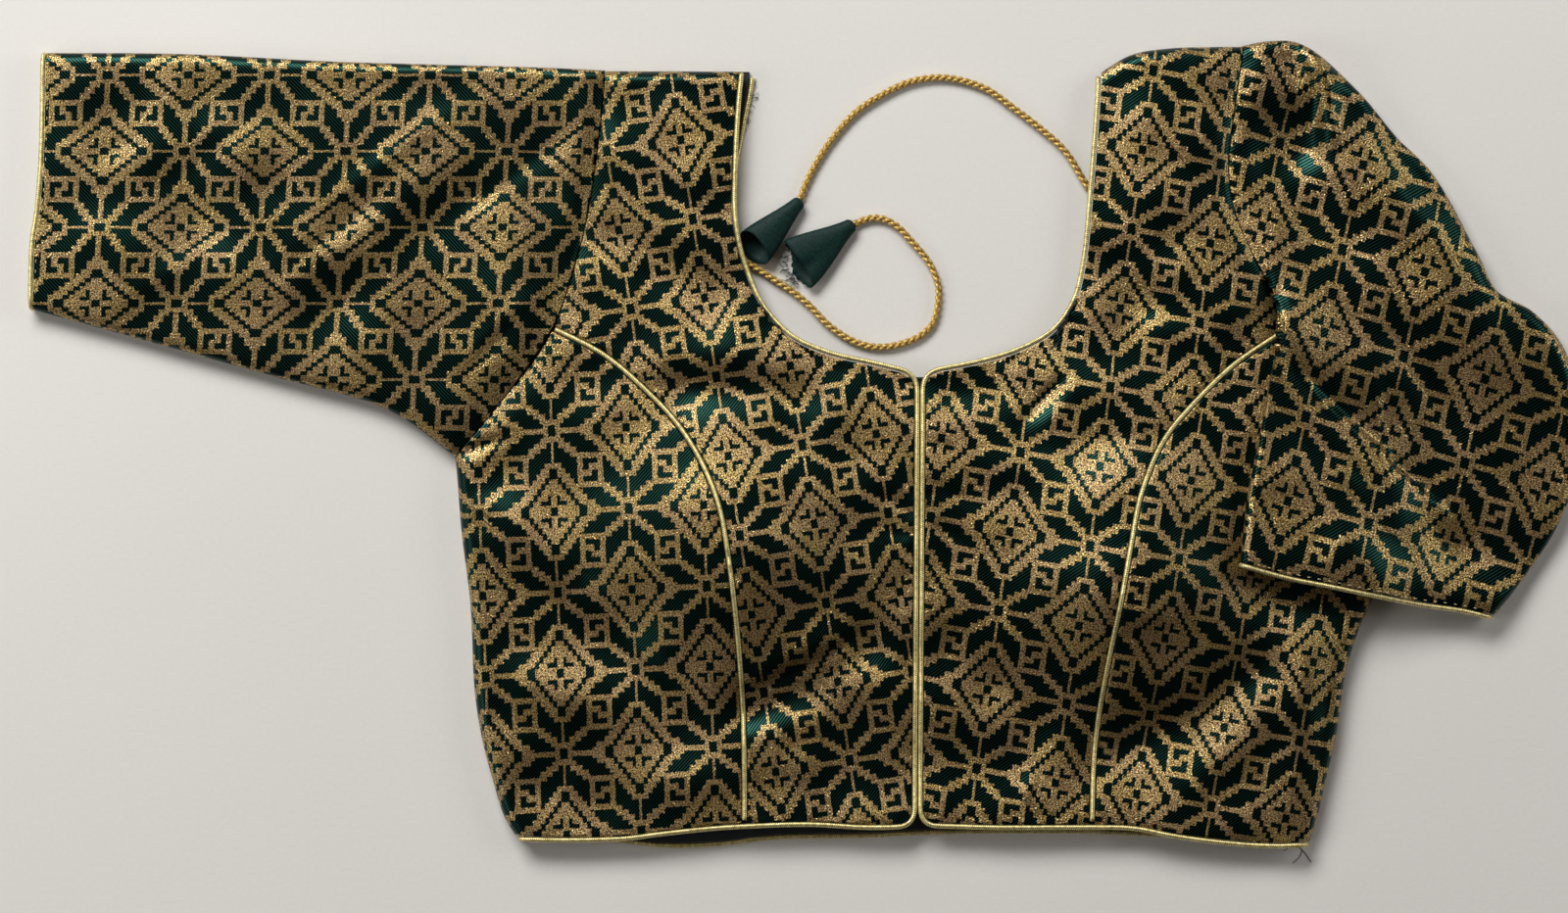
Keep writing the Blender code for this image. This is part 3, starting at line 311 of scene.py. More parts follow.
# How the brocade's repeat lies on each piece: a star, and half a repeat each way from it. These numbers
# weren't chosen by hand, except the back's: another script fitted them by least squares to the places of
# 45 stars that were read off the photograph.
WEAVE = {
    "sleeve_right": ((-285.5, 348.0), (40.1, 0.0), (-2.0, -37.9)),
    "front_side_right": ((-179.9, 128.3), (1.5, -40.2), (-37.2, -1.8)),
    "front_centre_right": ((-112.7, 314.2), (5.9, -39.3), (-36.8, -5.5)),
    "front_centre_left": ((94.8, 230.4), (-5.4, -39.4), (-39.2, 7.1)),
    "front_side_left": ((158.4, 99.9), (-6.6, -39.0), (-37.0, 6.1)),
    "sleeve_left": ((210.7, 299.1), (-9.6, -41.7), (-40.1, 11.5)),
    "back": ((0.0, 100.0), (0.0, -40.2), (-37.2, 0.0)),
}
HALF_REPEAT = (40.5, 38.0)
TWILL_SPACING, DIAGONAL = 1.25, 0.7071
# The brocade's chart, in steps from a star's or a diamond's middle
CHART = (15.0, 18.0)  # steps in half a repeat
STAR, STAR_EYE = (2.1, 2.0), (1.0, 0.95)
RAYS = (0.5, (2.0, 7.5)), (0.3, (2.0, 6.0))  # half-width and span, down and across
ARM_STEP, ARM_LEAN, ARM_START = 1.45, 0.6, 1.0
ARM_HALF_WIDTH, ARM_SPAN = 0.92, (1.45, 6.1)
KEY_INSIDE, KEY_OUTSIDE, KEY_BARS = (2.15, 1.8), (3.2, 3.05), (1.15, 0.35)
DIAMOND_MIDDLE, DIAMOND_STEPS, TIP_STEPS = (0.8, 0.85), 5.5, 7.5
UPRIGHT, LEVEL_BAR = ((1.15, 1.95), (0.75, 3.2)), ((1.15, 3.0), (0.7, 1.5))
BAND_REACH, BAND_SHIFT, BAND_STEPS, BAND_EDGE = (9.5, 11.0), 0.3, 6.5, 1.035
# The brocade's threads: noise scales a millimetre, relief as shares of its depth, and gloss
FRAY_SCALE, FRAY_STEPS = 1.4, 0.42
FLOAT_SCALES, TARNISH_SCALE = (1.05, 2.0), 0.035
FLOAT_SHADE, TWILL_SHADE = 0.6, 0.5
GOLD_RISE, FLOAT_RISE, TWILL_RISE, BROCADE_DEPTH = 0.35, 0.9, 0.1, 0.4
SHINE_ROUGHNESS, DULL_ROUGHER, GROUND_ROUGHER, DULL_METAL_LOSS = 0.25, 0.12, 0.11, 0.25
# The other trim: ribs and plies, noise scales along and round, and what share of the glint each gives
RIB_SLANT, RIB_SPACING = 2.6, 0.9
BLOTCH_SCALES, PIPING_GLINT = (0.55, 3.0), (0.45, 0.75)
PLIES, FIBRE_SCALES, DORI_GLINT = (0.5, 2.0), (1.4, 9.0), (0.2, 0.8)
TRIM_DEPTH = 0.1
THREAD_GRAIN = {"scale": 2200.0, "detail": 1.0, "depth": 0.05}
PAPER_GRAIN = (0.35, 0.65)  # shares of fine fibre and of broad tone

INWARD = {"right": 1.0, "left": -1.0}  # 1 where the centre is to the left of a line that runs down the body

# How finely each piece is divided, and where its divisions change
STEP = 2.1
BEND_STEP = 6.0  # degrees
EDGE_STEPS = (0.0, 0.4, 0.9, 1.6, 2.6)  # distances from a seam
ROLL_TURN = 9  # divisions of a folded edge's quarter turn
SLEEVE_TURN = 6
STEEP = 1.2  # surface over plan length, past which cloth is laid out at its surface length
UPRIGHT_PLAN = 1e-3  # plan length of a step below which it is upright
PIPE_SIDES, PIPE_STEP = 12, 1.6
TASSEL_SIDES, TASSEL_RINGS, TASSEL_PLEATS = 72, 26, 3
TASSEL_NECK, TASSEL_CROWN, TASSEL_GRIP = 2.9, 2.2, 2.4
FLARE_START, FLARE_SHARE = 0.1, 0.8  # the stretch of an S-curve that a tassel widens by
SIDE_CHANGE = 0.7  # where round its mouth a tassel changes from its one side to its other
RAGGED_SEED = 51
PLEAT_DEPTH, PLEAT_TURN = 0.06, 0.7
RING_CROWDING = 1.5  # how a tassel's rings crowd towards its closed end
CRUSH_AT, CRUSH_REACH = 0.35, 0.3  # where across its mouth a tassel is crushed, and how widely
STRANDS, STRAND_RADIUS, STRAND_PITCH, ROUTE_STEP = 2, 0.96, 7.2, 1.0
SLEEVE_COLUMNS = 92
PLACKET_COLUMNS = 7
STRAP_OVERRUN = 1.2
BACK_STEP, BACK_BEND = 3.0, 4.0
DOUBLED = 0.01  # points nearer than this are one
UPWARD = 0.5  # how level a face is that counts as the upper one

# Sewing and loose threads: routes are x, y and height
STITCH_INSET, STITCH_LENGTH, STITCH_GAP, STITCH_RADIUS = 2.6, 1.5, 3.6, 0.2
STITCH_ARCH = (-0.8, 0.6, 0.9, 0.6, -0.8)  # heights along a stitch, in radii
THREAD_STEP, LOOSE_RADIUS = 0.6, 0.16
FRAY_RADIUS = 0.13
FRAYS = {
    "threads_back_neck": {
        "edge": [(-83.0, 386.5), (-84.0, 378.0), (-88.5, 360.0)], "heading": -25.0, "spread": 55.0,
        "lengths": (1.5, 4.5), "heights": (0.3, 2.4), "threads": 20, "seed": 41, "slot": "lining",
    },
    "threads_tassel_right": {
        "edge": [(-64.5, 297.5), (-66.0, 293.0), (-64.0, 287.0), (-59.5, 281.5)],
        "heading": 170.0, "spread": 50.0, "lengths": (2.0, 6.0), "heights": (0.3, 4.0),
        "threads": 34, "seed": 42, "slot": "satin",
    },
}
FRAY_MIDDLE, FRAY_BOW = 0.55, 0.3  # where along a thread it bows, and by what share of its length
LOOSE_THREADS = (
    ((121.0, 399.0, 6.0), (124.0, 396.0, 13.0), (127.5, 397.5, 13.4), (130.0, 394.0, 13.2)),
    ((183.0, -1.5, 0.0), (188.0, 1.5, 0.0), (192.0, -1.0, 0.0), (196.5, -7.0, 0.0)),
    ((192.0, -1.0, 0.0), (191.0, -4.0, 0.0), (187.5, -7.5, 0.0)),
)

# Stage
FRAME_WIDTH, FRAME_CENTRE = 780.0, (-67.3, 196.0)
CAMERA_HEIGHT = 1.8
FLOOR_WIDTH = 5.0
SENSOR_WIDTH = 36.0
WORLD_COLOUR, WORLD_STRENGTH = (1.0, 0.88, 0.80, 1.0), 0.05
# Lights that face the middle of the floor: place, size and power
LIGHTS = {
    "window": ((-0.95, 1.85, 1.7), (1.9, 0.95), 74.0),
    "fill_left": ((-1.7, -0.4, 1.0), (1.2, 0.8), 8.0),
    "fill_right": ((1.7, 0.5, 0.9), (1.2, 0.8), 8.0),
}


# Lines in plan


def unit(vectors):
    return vectors / np.linalg.norm(vectors, axis=-1, keepdims=True)


def spline(points, per_span=12):
    """A smooth line through the points."""
    points = np.array(points, float)
    ends = np.vstack([2 * points[0] - points[1], points, 2 * points[-1] - points[-2]])
    knots = np.concatenate([[0.0], np.cumsum(np.sqrt(np.linalg.norm(np.diff(ends, axis=0), axis=1)))])
    s = np.linspace(0.0, 1.0, per_span, endpoint=False)[:, None]
    line = []
    for i in range(1, len(ends) - 2):
        before, start, end, after = ends[i - 1 : i + 3]
        t0, t1, t2, t3 = knots[i - 1 : i + 3]
        chord = (end - start) / (t2 - t1)
        leave = (t2 - t1) * ((start - before) / (t1 - t0) - (end - before) / (t2 - t0) + chord)
        arrive = (t2 - t1) * (chord - (after - start) / (t3 - t1) + (after - end) / (t3 - t2))
        line.append(
            (2 * s**3 - 3 * s**2 + 1) * start
            + (s**3 - 2 * s**2 + s) * leave
            + (3 * s**2 - 2 * s**3) * end
            + (s**3 - s**2) * arrive
        )
    line.append(points[-1:])
    return np.vstack(line)


def reach_of(line):
    """The length from a line's start to each of its points."""
    return np.concatenate([[0.0], np.cumsum(np.linalg.norm(np.diff(line, axis=0), axis=1))])


def length_of(line):
    return reach_of(line)[-1]


def at(line, lengths):
    """The points at some lengths along a line."""
    reach = reach_of(line)
    return np.column_stack([np.interp(lengths, reach, axis) for axis in line.T])


def evenly(line, count):
    """Count spaces between evenly spaced points along a line."""
    return fractions_of(line, np.linspace(0.0, 1.0, count + 1))


def spaced(line, step):
    return evenly(line, max(1, int(round(length_of(line) / step))))


def thinned(line, step, bend=BEND_STEP):
    """The points of a line that are a step apart, or nearer where it turns."""
    kept, heading, since = [0], None, 0.0
    for i in range(1, len(line) - 1):
        along = line[i + 1] - line[i]
        since += np.linalg.norm(line[i] - line[i - 1])
        angle = np.degrees(np.arctan2(along[1], along[0]))
        heading = angle if heading is None else heading
        if since >= step or abs((angle - heading + 180) % 360 - 180) >= bend:
            kept.append(i)
            heading, since = angle, 0.0
    return line[[*kept, len(line) - 1]]


def gaps(points, line):
    """From each point to each step of a line: the nearest share, the offset, the step and the distance."""
    step = np.diff(line, axis=0)
    offset = points[:, None] - line[:-1]
    share = np.clip((offset * step).sum(axis=2) / (step**2).sum(axis=1), 0.0, 1.0)
    return share, offset, step, np.linalg.norm(offset - share[..., None] * step, axis=2)


def nearest(line, point):
    """How far along a line its point nearest to another point is."""
    share, _, step, apart = gaps(point[None], line)
    i = apart[0].argmin()
    return reach_of(line)[i] + share[0, i] * np.linalg.norm(step[i])


def fractions_of(line, fractions):
    return at(line, np.array(fractions) * length_of(line))


def shifted(line, distance):
    """A plan line moved sideways, to its left where the distance is positive."""
    along = unit(np.gradient(line, axis=0))
    return line + distance * np.column_stack([-along[:, 1], along[:, 0]])


def between(line, start, end):
    """The stretch of a line between two lengths, turned round if the first is the larger."""
    reach = reach_of(line)
    low, high = min(start, end), max(start, end)
    inside = line[(reach > low + DOUBLED) & (reach < high - DOUBLED)]
    ends = at(line, [low, high])
    stretch = np.vstack([ends[:1], inside, ends[1:]])
    return stretch if start < end else stretch[::-1]


def turn(a, b):
    return a[..., 0] * b[..., 1] - a[..., 1] * b[..., 0]


def crossing(first, second):
    """How far along each of two plan lines they first cross."""
    a, b = first[:-1, None], second[None, :-1]
    a_step, b_step = np.diff(first, axis=0)[:, None], np.diff(second, axis=0)[None]
    with np.errstate(divide="ignore", invalid="ignore"):
        on_a = turn(b - a, b_step) / turn(a_step, b_step)
        on_b = turn(b - a, a_step) / turn(a_step, b_step)
    i, j = np.argwhere((on_a >= 0) & (on_a <= 1) & (on_b >= 0) & (on_b <= 1))[0]
    a_length = reach_of(first)[i] + on_a[i, j] * np.linalg.norm(a_step[i, 0])
    b_length = reach_of(second)[j] + on_b[i, j] * np.linalg.norm(b_step[0, j])
    return a_length, b_length


def outline(lines):
    """Lines that cross in a ring, each cut back to the stretch between its neighbours."""
    stretches = []
    for before, line, after in zip(lines[-1:] + lines[:-1], lines, lines[1:] + lines[:1]):
        stretches.append(between(line, crossing(line, before)[0], crossing(line, after)[0]))
    return stretches


def rounded(first, second, size):
    """Two lines that meet end to start, as one with its corner rounded off."""
    corner = first[-1]
    first = between(first, 0.0, length_of(first) - size)
    second = between(second, size, length_of(second))
    s = np.linspace(0.0, 1.0, CORNER_STEPS + 1)[1:-1, None]
    curve = (1 - s) ** 2 * first[-1] + 2 * s * (1 - s) * corner + s**2 * second[0]
    return np.vstack([first, curve, second])


def distance_to(points, line):
    """The plan distance from each point to a line."""
    return gaps(points, line)[3].min(axis=1)


def beyond(points, line):
    """The signed plan distance from a line to each point, positive to the line's left."""
    _, offset, step, apart = gaps(points, line)
    i, row = apart.argmin(axis=1), np.arange(len(points))
    return apart[row, i] * np.sign(turn(step[i], offset[row, i]))


def ease(t):
    t = np.clip(t, 0.0, 1.0)
    return t * t * (3 - 2 * t)


def fade(distance, reach):
    return np.exp(-((distance / reach) ** 2))


# The garment's seam lines


def front_edge(side):
    """The piped edge of a front: neck, centre front and hem."""
    neck_and_centre = rounded(spline(NECK[side]), spline(CENTRE_FRONT[side]), CENTRE_CORNER)
    return rounded(neck_and_centre, spline(HEM[side]), CENTRE_CORNER)


# Heights


def ridges(points, rows, ends=1.0):
    """Folds, or creases that keep only a share of their height at their ends."""
    rise = np.zeros(len(points))
    for x0, y0, x1, y1, reach, height in rows:
        start, step = np.array([x0, y0]), np.array([x1 - x0, y1 - y0])
        share = np.clip((points - start) @ step / (step @ step), 0.0, 1.0)
        apart = np.linalg.norm(points - start - share[:, None] * step, axis=1)
        rise += height * (ends + (1 - ends) * np.sin(np.pi * share)) * fade(apart, reach)
    return rise


def domes_at(points):
    rise = np.zeros(len(points))
    for dome in DOMES:
        across = (points[:, 0] - dome["x"]) / dome["across"]
        up = points[:, 1] - dome["y"]
        along = up / np.where(up < 0, dome["below"], dome["above"])
        rise += dome["height"] * np.exp(-(across**2) - along**2)
    return rise


def fullness(points, side):
    """The outer face of the front, away from its folded sides."""
    rise = PLATEAU + domes_at(points) + ridges(points, FOLDS["front"])
    rise -= NECK_DROP * fade(distance_to(points, spline(NECK[side])), NECK_DROP_REACH)
    return rise - SEAM_DIP * fade(distance_to(points, spline(ARMHOLE[side])), SEAM_DIP_REACH)


def inset_of(points, side):
    """The distance from each point to the front's folded edges."""
    edges = spline(SIDE[side]), spline(SHOULDER[side])
    return np.minimum(*(distance_to(points, edge) for edge in edges))


def front_top(points, side):
    """The outer face of the front, rolled down to the back at the shoulder and the side."""
    roll = np.sqrt(1 - (1 - np.clip(inset_of(points, side) / BODY_ROLL, 0.0, 1.0)) ** 2)
    return FOOT_TOP + (fullness(points, side) - FOOT_TOP) * roll


def sleeve_right_top(points):
    """The outer face of the straight sleeve, away from its folds."""
    rise = SLEEVE_THICKNESS + ridges(points, FOLDS["sleeve_right"])
    return rise - SEAM_DIP * fade(distance_to(points, spline(ARMHOLE["right"])), SEAM_DIP_REACH)


def over_left_front(points, beside, ahead):
    """How far the folded sleeve is lifted by the front it lies on, from 0 to 1."""
    past_side = beyond(points, spline(SIDE["left"]))
    past_seam = beyond(points, np.vstack([BODY_BESIDE_CAP, lower_armhole()]))
    return ease((beside[0] - past_side) / sum(beside)) * ease((ahead[0] - past_seam) / sum(ahead))


def sleeve_left_under(points):
    """The underside of the folded sleeve."""
    front = fullness(points, "left") + REST_CLEARANCE
    return front * over_left_front(points, **UNDERSIDE_FALL)


def sleeve_left_top(points):
    """The outer face of the folded sleeve, away from its folds' edges."""
    seam = upper_armhole()
    fading = 1 - fade(np.linalg.norm(points - seam[-1], axis=1), DIP_END)
    dip = SEAM_DIP * fade(distance_to(points, seam), SEAM_DIP_REACH) * fading
    front = fullness(points, "left") + REST_CLEARANCE
    lift = front * over_left_front(points, **UPPER_FACE_FALL)
    return SLEEVE_THICKNESS + lift + ridges(points, FOLDS["sleeve_left"]) - dip


# Finer form


def waves(points, seed, height, shortest, longest, count):
    """Uneven small undulations."""
    chance = np.random.default_rng(seed)
    rise = np.zeros(len(points))
    for _ in range(count):
        heading, phase = chance.uniform(0.0, 2 * np.pi, 2)
        length = chance.uniform(shortest, longest)
        along = points @ np.array([np.cos(heading), np.sin(heading)])
        rise += np.sin(2 * np.pi * along / length + phase)
    return height * rise / np.sqrt(count / 2)


def puckered(points, seam, seed):
    """Small gathers along a seam."""
    return waves(points, seed, **PUCKER) * fade(distance_to(points, seam), PUCKER_REACH)


def sunk(points, seam):
    """How far cloth is drawn down into a seam."""
    return SEAM_SINK * fade(distance_to(points, seam), SEAM_SINK_REACH)


def swollen(points, swells):
    """Broad slopes that fade all round."""
    rise = np.zeros(len(points))
    for x, y, reach_across, reach_along, heading, slope in swells:
        heading = np.radians(heading)
        offset = points - np.array([x, y])
        across = offset @ np.array([np.cos(heading), np.sin(heading)]) / reach_across
        along = offset @ np.array([-np.sin(heading), np.cos(heading)])
        rise -= slope * along * np.exp(-(across**2) - (along / reach_along) ** 2)
    return rise


def fine_form(points, part):
    """A part's slopes, creases and rumples, on top of its solid's form."""
    slopes = swollen(points, SWELLS[part]) + ridges(points, CREASES[part], CREASE_ENDS)
    return slopes + waves(points, SEEDS[part], **RUMPLE)


def front_face(points, side):
    """The outer face of a front with its creases."""
    flatness = ease(inset_of(points, side) / (2 * BODY_ROLL))
    armhole, princess, edge = spline(ARMHOLE[side]), spline(PRINCESS[side]), front_edge(side)
    seed = SEEDS["front"]
    rise = fine_form(points, "front")
    rise = rise + puckered(points, edge, seed + 1) + puckered(points, princess, seed + 2)
    rise -= sunk(points, armhole) + sunk(points, princess) + EDGE_SINK * sunk(points, edge)
    return front_top(points, side) + rise * flatness


def sleeve_form(points, part, seam):
    """A sleeve's finer form, gathered along its armhole and sunk into it."""
    rise = fine_form(points, part)
    return rise + (puckered(points, seam, SEEDS[part] + 1) - sunk(points, seam))


def sleeve_right_face(points):
    return sleeve_right_top(points) + sleeve_form(points, "sleeve_right", spline(ARMHOLE["right"]))


def sleeve_left_face(points):
    """The outer face of the folded sleeve, which never comes nearer its underside than the thinnest."""
    rise = sleeve_form(points, "sleeve_left", upper_armhole())
    under = sleeve_left_under(points)
    spare = sleeve_left_top(points) + rise - under - THINNEST_SLEEVE
    return under + THINNEST_SLEEVE + (spare + np.hypot(spare, THINNING)) / 2


def level(points):
    return np.zeros(len(points))


# Meshes


def divisions(line, start=(0.0,), end=(0.0,)):
    """Fractions of a line's length: even, but for the distances given from either end."""
    length = length_of(line)
    last = length - np.array(end[::-1])
    count = max(2, int(round((last[0] - start[-1]) / STEP)))
    between_ends = np.linspace(start[-1], last[0], count + 1)
    return np.concatenate([start[:-1], between_ends, last[1:]]) / length


def roll_steps():
    quarter = np.linspace(0.0, np.pi / 2, ROLL_TURN + 1)
    return tuple(BODY_ROLL * (1 - np.cos(quarter)))


def coons(lines, across, down):
    """Plan points between four lines, the top and bottom and the left and right, at fractions."""
    top, bottom, left, right = lines
    u, v = np.broadcast_arrays(np.asarray(across, float), np.asarray(down, float))
    shape = u.shape
    u, v = u.ravel(), v.ravel()
    a, b = fractions_of(top, u), fractions_of(bottom, u)
    c, d = fractions_of(left, v), fractions_of(right, v)
    u, v = u[:, None], v[:, None]
    ruled = (1 - v) * a + v * b + (1 - u) * c + u * d
    corners = (1 - v) * ((1 - u) * top[0] + u * top[-1]) + v * ((1 - u) * bottom[0] + u * bottom[-1])
    return (ruled - corners).reshape(*shape, 2)


def raised(rows, height):
    z = height(rows.reshape(-1, 2)).reshape(rows.shape[:2])
    return np.dstack([rows, z])


def stretch(line, start, end):
    """The stretch of a line from where it crosses one line to where it crosses another."""
    return between(line, crossing(line, start)[0], crossing(line, end)[0])


def laid_out(sheet):
    """The plan of rows of points, with each row's steep stretches at full length, from its last point."""
    steps = np.diff(sheet[:, ::-1], axis=1)
    plan = np.linalg.norm(steps[..., :2], axis=2)
    full = np.linalg.norm(steps, axis=2)
    heading = steps[..., :2] / np.maximum(plan, 1e-6)[..., None]
    for i in range(1, steps.shape[1]):
        upright = plan[:, i] < UPRIGHT_PLAN
        heading[upright, i] = heading[upright, i - 1]
    length = np.where(full > STEEP * plan, full, plan)
    reach = np.cumsum(heading * length[..., None], axis=1)
    start = sheet[:, -1:, :2]
    return np.concatenate([start, start + reach], axis=1)[:, ::-1]


def repeats(panel, plan):
    """Plan points as half-repeats of the brocade from its star."""
    star, *half_repeats = WEAVE[panel]
    return (plan - np.array(star)) @ np.linalg.inv(half_repeats)


class World:
    """Turns the tailor's millimetres into the frame's metres."""

    shift = np.zeros(3)

    @classmethod
    def points(cls, points):
        return (np.asarray(points, float) + cls.shift) * MM


def placed(name, data):
    obj = bpy.data.objects.new(name, data)
    bpy.context.scene.collection.objects.link(obj)
    return obj


def new_piece(name, data, slot, *materials, node=None):
    """A piece of the dressed garment: its materials, and the node that it stands for. The slot is not used.
    """
    obj = placed(name, data)
    for material in materials:
        data.materials.append(MATERIALS[material])
    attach(obj, "root")
    if node:
        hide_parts(node)
    return obj


def sheet_mesh(name, sheets, layouts, rings=False):
    """A mesh of rows of points on a cloth's outer face, with each point's place on the cloth."""
    verts, faces, places = [], [], []
    for sheet, layout in zip(sheets, layouts):
        rows, columns = sheet.shape[:2]
        first = sum(len(part) for part in verts)
        verts.append(World.points(sheet.reshape(-1, 3)))
        i = np.arange(rows - 1)[:, None] * columns + first
        j = np.arange(columns if rings else columns - 1)[None]
        k = (j + 1) % columns
        faces.append(np.stack([i + j, i + k, i + columns + k, i + columns + j], axis=2).reshape(-1, 4))
        corners = layout[:-1, :-1], layout[:-1, 1:], layout[1:, 1:], layout[1:, :-1]
        places.append(np.stack(corners, axis=2).reshape(-1, 2))
    data = bpy.data.meshes.new(name)
    data.from_pydata(np.vstack(verts).tolist(), [], np.vstack(faces).tolist())
    data.uv_layers.new(name="weave").data.foreach_set("uv", np.vstack(places).ravel())
    turn_outward(data, rings)
    return data


def turn_outward(data, rings):
    """Joins a mesh's doubled points and turns its faces outwards."""
    mesh = bmesh.new()
    mesh.from_mesh(data)
    bmesh.ops.remove_doubles(mesh, verts=mesh.verts, dist=DOUBLED * MM)
    if rings:
        bmesh.ops.recalc_face_normals(mesh, faces=mesh.faces)
    elif sum(face.normal.z * face.calc_area() for face in mesh.faces) < 0:
        bmesh.ops.reverse_faces(mesh, faces=mesh.faces)
    mesh.to_mesh(data)
    mesh.free()
    data.shade_smooth()


def walled(obj, wall):
    solidify = obj.modifiers.new("Wall", "SOLIDIFY")
    solidify.thickness = wall * MM
    solidify.offset = -1.0
    solidify.material_offset = 1
    return obj


def longest(sheet):
    """The longest row of points, in metres."""
    return max(length_of(row) for row in sheet) * MM


def brocade_piece(node, sheets, layouts, rings=False):
    data = sheet_mesh(f"{node}_cloth", sheets, [repeats(node, layout) for layout in layouts], rings)
    return walled(new_piece(f"{node}_cloth", data, "brocade", "brocade", "lining", node=node), WALL)


def front_lines(side):
    """The lines that a front's panels end on."""
    inward = INWARD[side]
    princess = spline(PRINCESS[side])
    return {
        "edge": shifted(front_edge(side), -inward * PIPE_INSET),
        "armhole": shifted(spline(ARMHOLE[side]), inward * SEAM_GAP / 2),
        "centre seam": shifted(princess, inward * PIPE_INSET),
        "side seam": shifted(princess, -inward * PIPE_INSET),
        "shoulder": spline(SHOULDER[side]),
        "side": spline(SIDE[side]),
    }


def with_foot(sheet):
    """A sheet whose first row is taken down to the back."""
    foot = sheet[:1].copy()
    foot[..., 2] = FOOT_BOTTOM
    return np.concatenate([foot, sheet])


def turned(sheet):
    return np.swapaxes(sheet, 0, 1)


def centre_front(side):
    """A centre front: the strap from the shoulder, and the panel below, which share a row of points."""
    node = f"front_centre_{side}"
    lines = front_lines(side)
    edge, armhole, seam = lines["edge"], lines["armhole"], lines["centre seam"]
    seam_top = at(seam, [crossing(seam, armhole)[0]])[0]
    strap = np.array([seam_top, seam_top + STRAP_OVERRUN * (np.array(STRAP_END[side]) - seam_top)])
    to_neck = crossing(edge, strap)[0]
    strap_line = np.array([seam_top, at(edge, [to_neck])[0]])
    strap_row = fractions_of(strap_line, divisions(strap_line, EDGE_STEPS, EDGE_STEPS))

    shoulder = stretch(lines["shoulder"], armhole, edge)
    strap_armhole = stretch(armhole, lines["shoulder"], seam)
    strap_neck = between(edge, crossing(edge, lines["shoulder"])[0], to_neck)
    down = divisions(strap_armhole, roll_steps())[:, None]
    across = reach_of(strap_row) / length_of(strap_row)
    strap_plan = coons((shoulder, strap_row, strap_armhole, strap_neck), across, down)

    corners = [nearest(edge, np.array(corner)) for corner in CENTRE_FRONT[side]]
    neck = between(edge, to_neck, corners[0])
    panel_top = np.vstack([strap_row, fractions_of(neck, divisions(neck, end=EDGE_STEPS))[1:]])
    hem = between(edge, crossing(edge, seam)[0], corners[1])
    panel_lines = panel_top, hem, stretch(seam, armhole, edge), between(edge, *corners)
    down = divisions(panel_lines[2], EDGE_STEPS, EDGE_STEPS)[:, None]
    panel_plan = coons(panel_lines, reach_of(panel_top) / length_of(panel_top), down)

    strap_sheet = with_foot(raised(strap_plan, lambda points: front_face(points, side)))
    panel_sheet = raised(panel_plan, lambda points: front_face(points, side))
    layouts = [turned(laid_out(turned(strap_sheet))), panel_plan]
    obj = brocade_piece(node, [strap_sheet, panel_sheet], layouts)


def side_front(side):
    """A side front, from the folded side in to the princess seam."""
    lines = front_lines(side)
    edge, armhole, seam, outer = lines["edge"], lines["armhole"], lines["side seam"], lines["side"]
    top, hem = (stretch(line, outer, seam) for line in (armhole, edge))
    sides = [stretch(line, armhole, edge) for line in (outer, seam)]
    across = divisions(top, roll_steps(), EDGE_STEPS)
    down = divisions(sides[0], EDGE_STEPS, EDGE_STEPS)[:, None]
    sheet = raised(coons((top, hem, *sides), across, down), lambda points: front_face(points, side))
    sheet = turned(with_foot(turned(sheet)))
    obj = brocade_piece(f"front_side_{side}", [sheet], [laid_out(sheet)])


def section(layers, v, faces, lower_span, inside=0.0):
    """A ring round a sleeve laid flat, from its underarm fold over the top, some distance inside.

    The layers are the lines round its upper and lower layer, v is how far down them the ring is, the
    faces are the heights of its top and its underside, and the span is the lower layer's share of
    the width between the folds.
    """
    upper, lower = layers
    top_of, under_of = faces
    folds = coons(upper, [0.0, 1.0], v)
    width = np.linalg.norm(folds[1] - folds[0])
    radius = (top_of(folds) - under_of(folds)) / 2 - inside
    angles = np.linspace(0.0, np.pi / 2, SLEEVE_TURN + 1)[:-1]
    first = (inside + np.outer(radius, 1 - np.cos(angles))) / width
    count = SLEEVE_COLUMNS
    flat_from, flat_to = (inside + radius) / width
    upper_across = [*(1 - first[1]), *np.linspace(1 - flat_to, flat_from, count + 1), *first[0][:0:-1]]
    low, high = lower_span
    lower_flat = np.linspace(max(flat_from, low), min(1 - flat_to, high), count + 1)
    under_across = [*first[0], *lower_flat, *(1 - first[1][:0:-1])]
    rise = [*np.sin(angles), *[1.0] * (count + 1), *np.sin(angles[:0:-1])]
    plan = np.vstack([coons(upper, upper_across, v), coons(lower, under_across, v)])
    under, top = under_of(plan), top_of(plan)
    z = (top + under) / 2 + np.array([*rise, *np.negative(rise)]) * ((top - under) / 2 - inside)
    return np.column_stack([plan, z])


def ring_layout(ring, flat):
    """A ring's places on the cloth: its upper layer's plan, and the rest at full length past its ends."""
    closed = np.vstack([ring, ring[:1]])
    reach = reach_of(closed)
    start, end = flat
    heading = ring[end, :2] - ring[start, :2]
    heading /= np.linalg.norm(heading)
    layout = closed[:, :2].copy()
    layout[:start] = ring[start, :2] - (reach[start] - reach[:start])[:, None] * heading
    layout[end:] = ring[end, :2] + (reach[end:] - reach[end])[:, None] * heading
    return layout


def sleeve(side):
    """A sleeve laid flat: a tube with a fold along each edge."""
    layers, faces = SLEEVES[side](PIPE_INSET)
    stations = divisions(layers[0][2], EDGE_STEPS, EDGE_STEPS)
    rings = np.array([section(layers, v, faces, LOWER_SPANS[side]) for v in stations])
    flat = SLEEVE_TURN, SLEEVE_TURN + SLEEVE_COLUMNS
    layout = np.array([ring_layout(ring, flat) for ring in rings])
    obj = brocade_piece(f"sleeve_{side}", [rings], [layout], rings=True)
    if side == "left":
        bunched(obj)


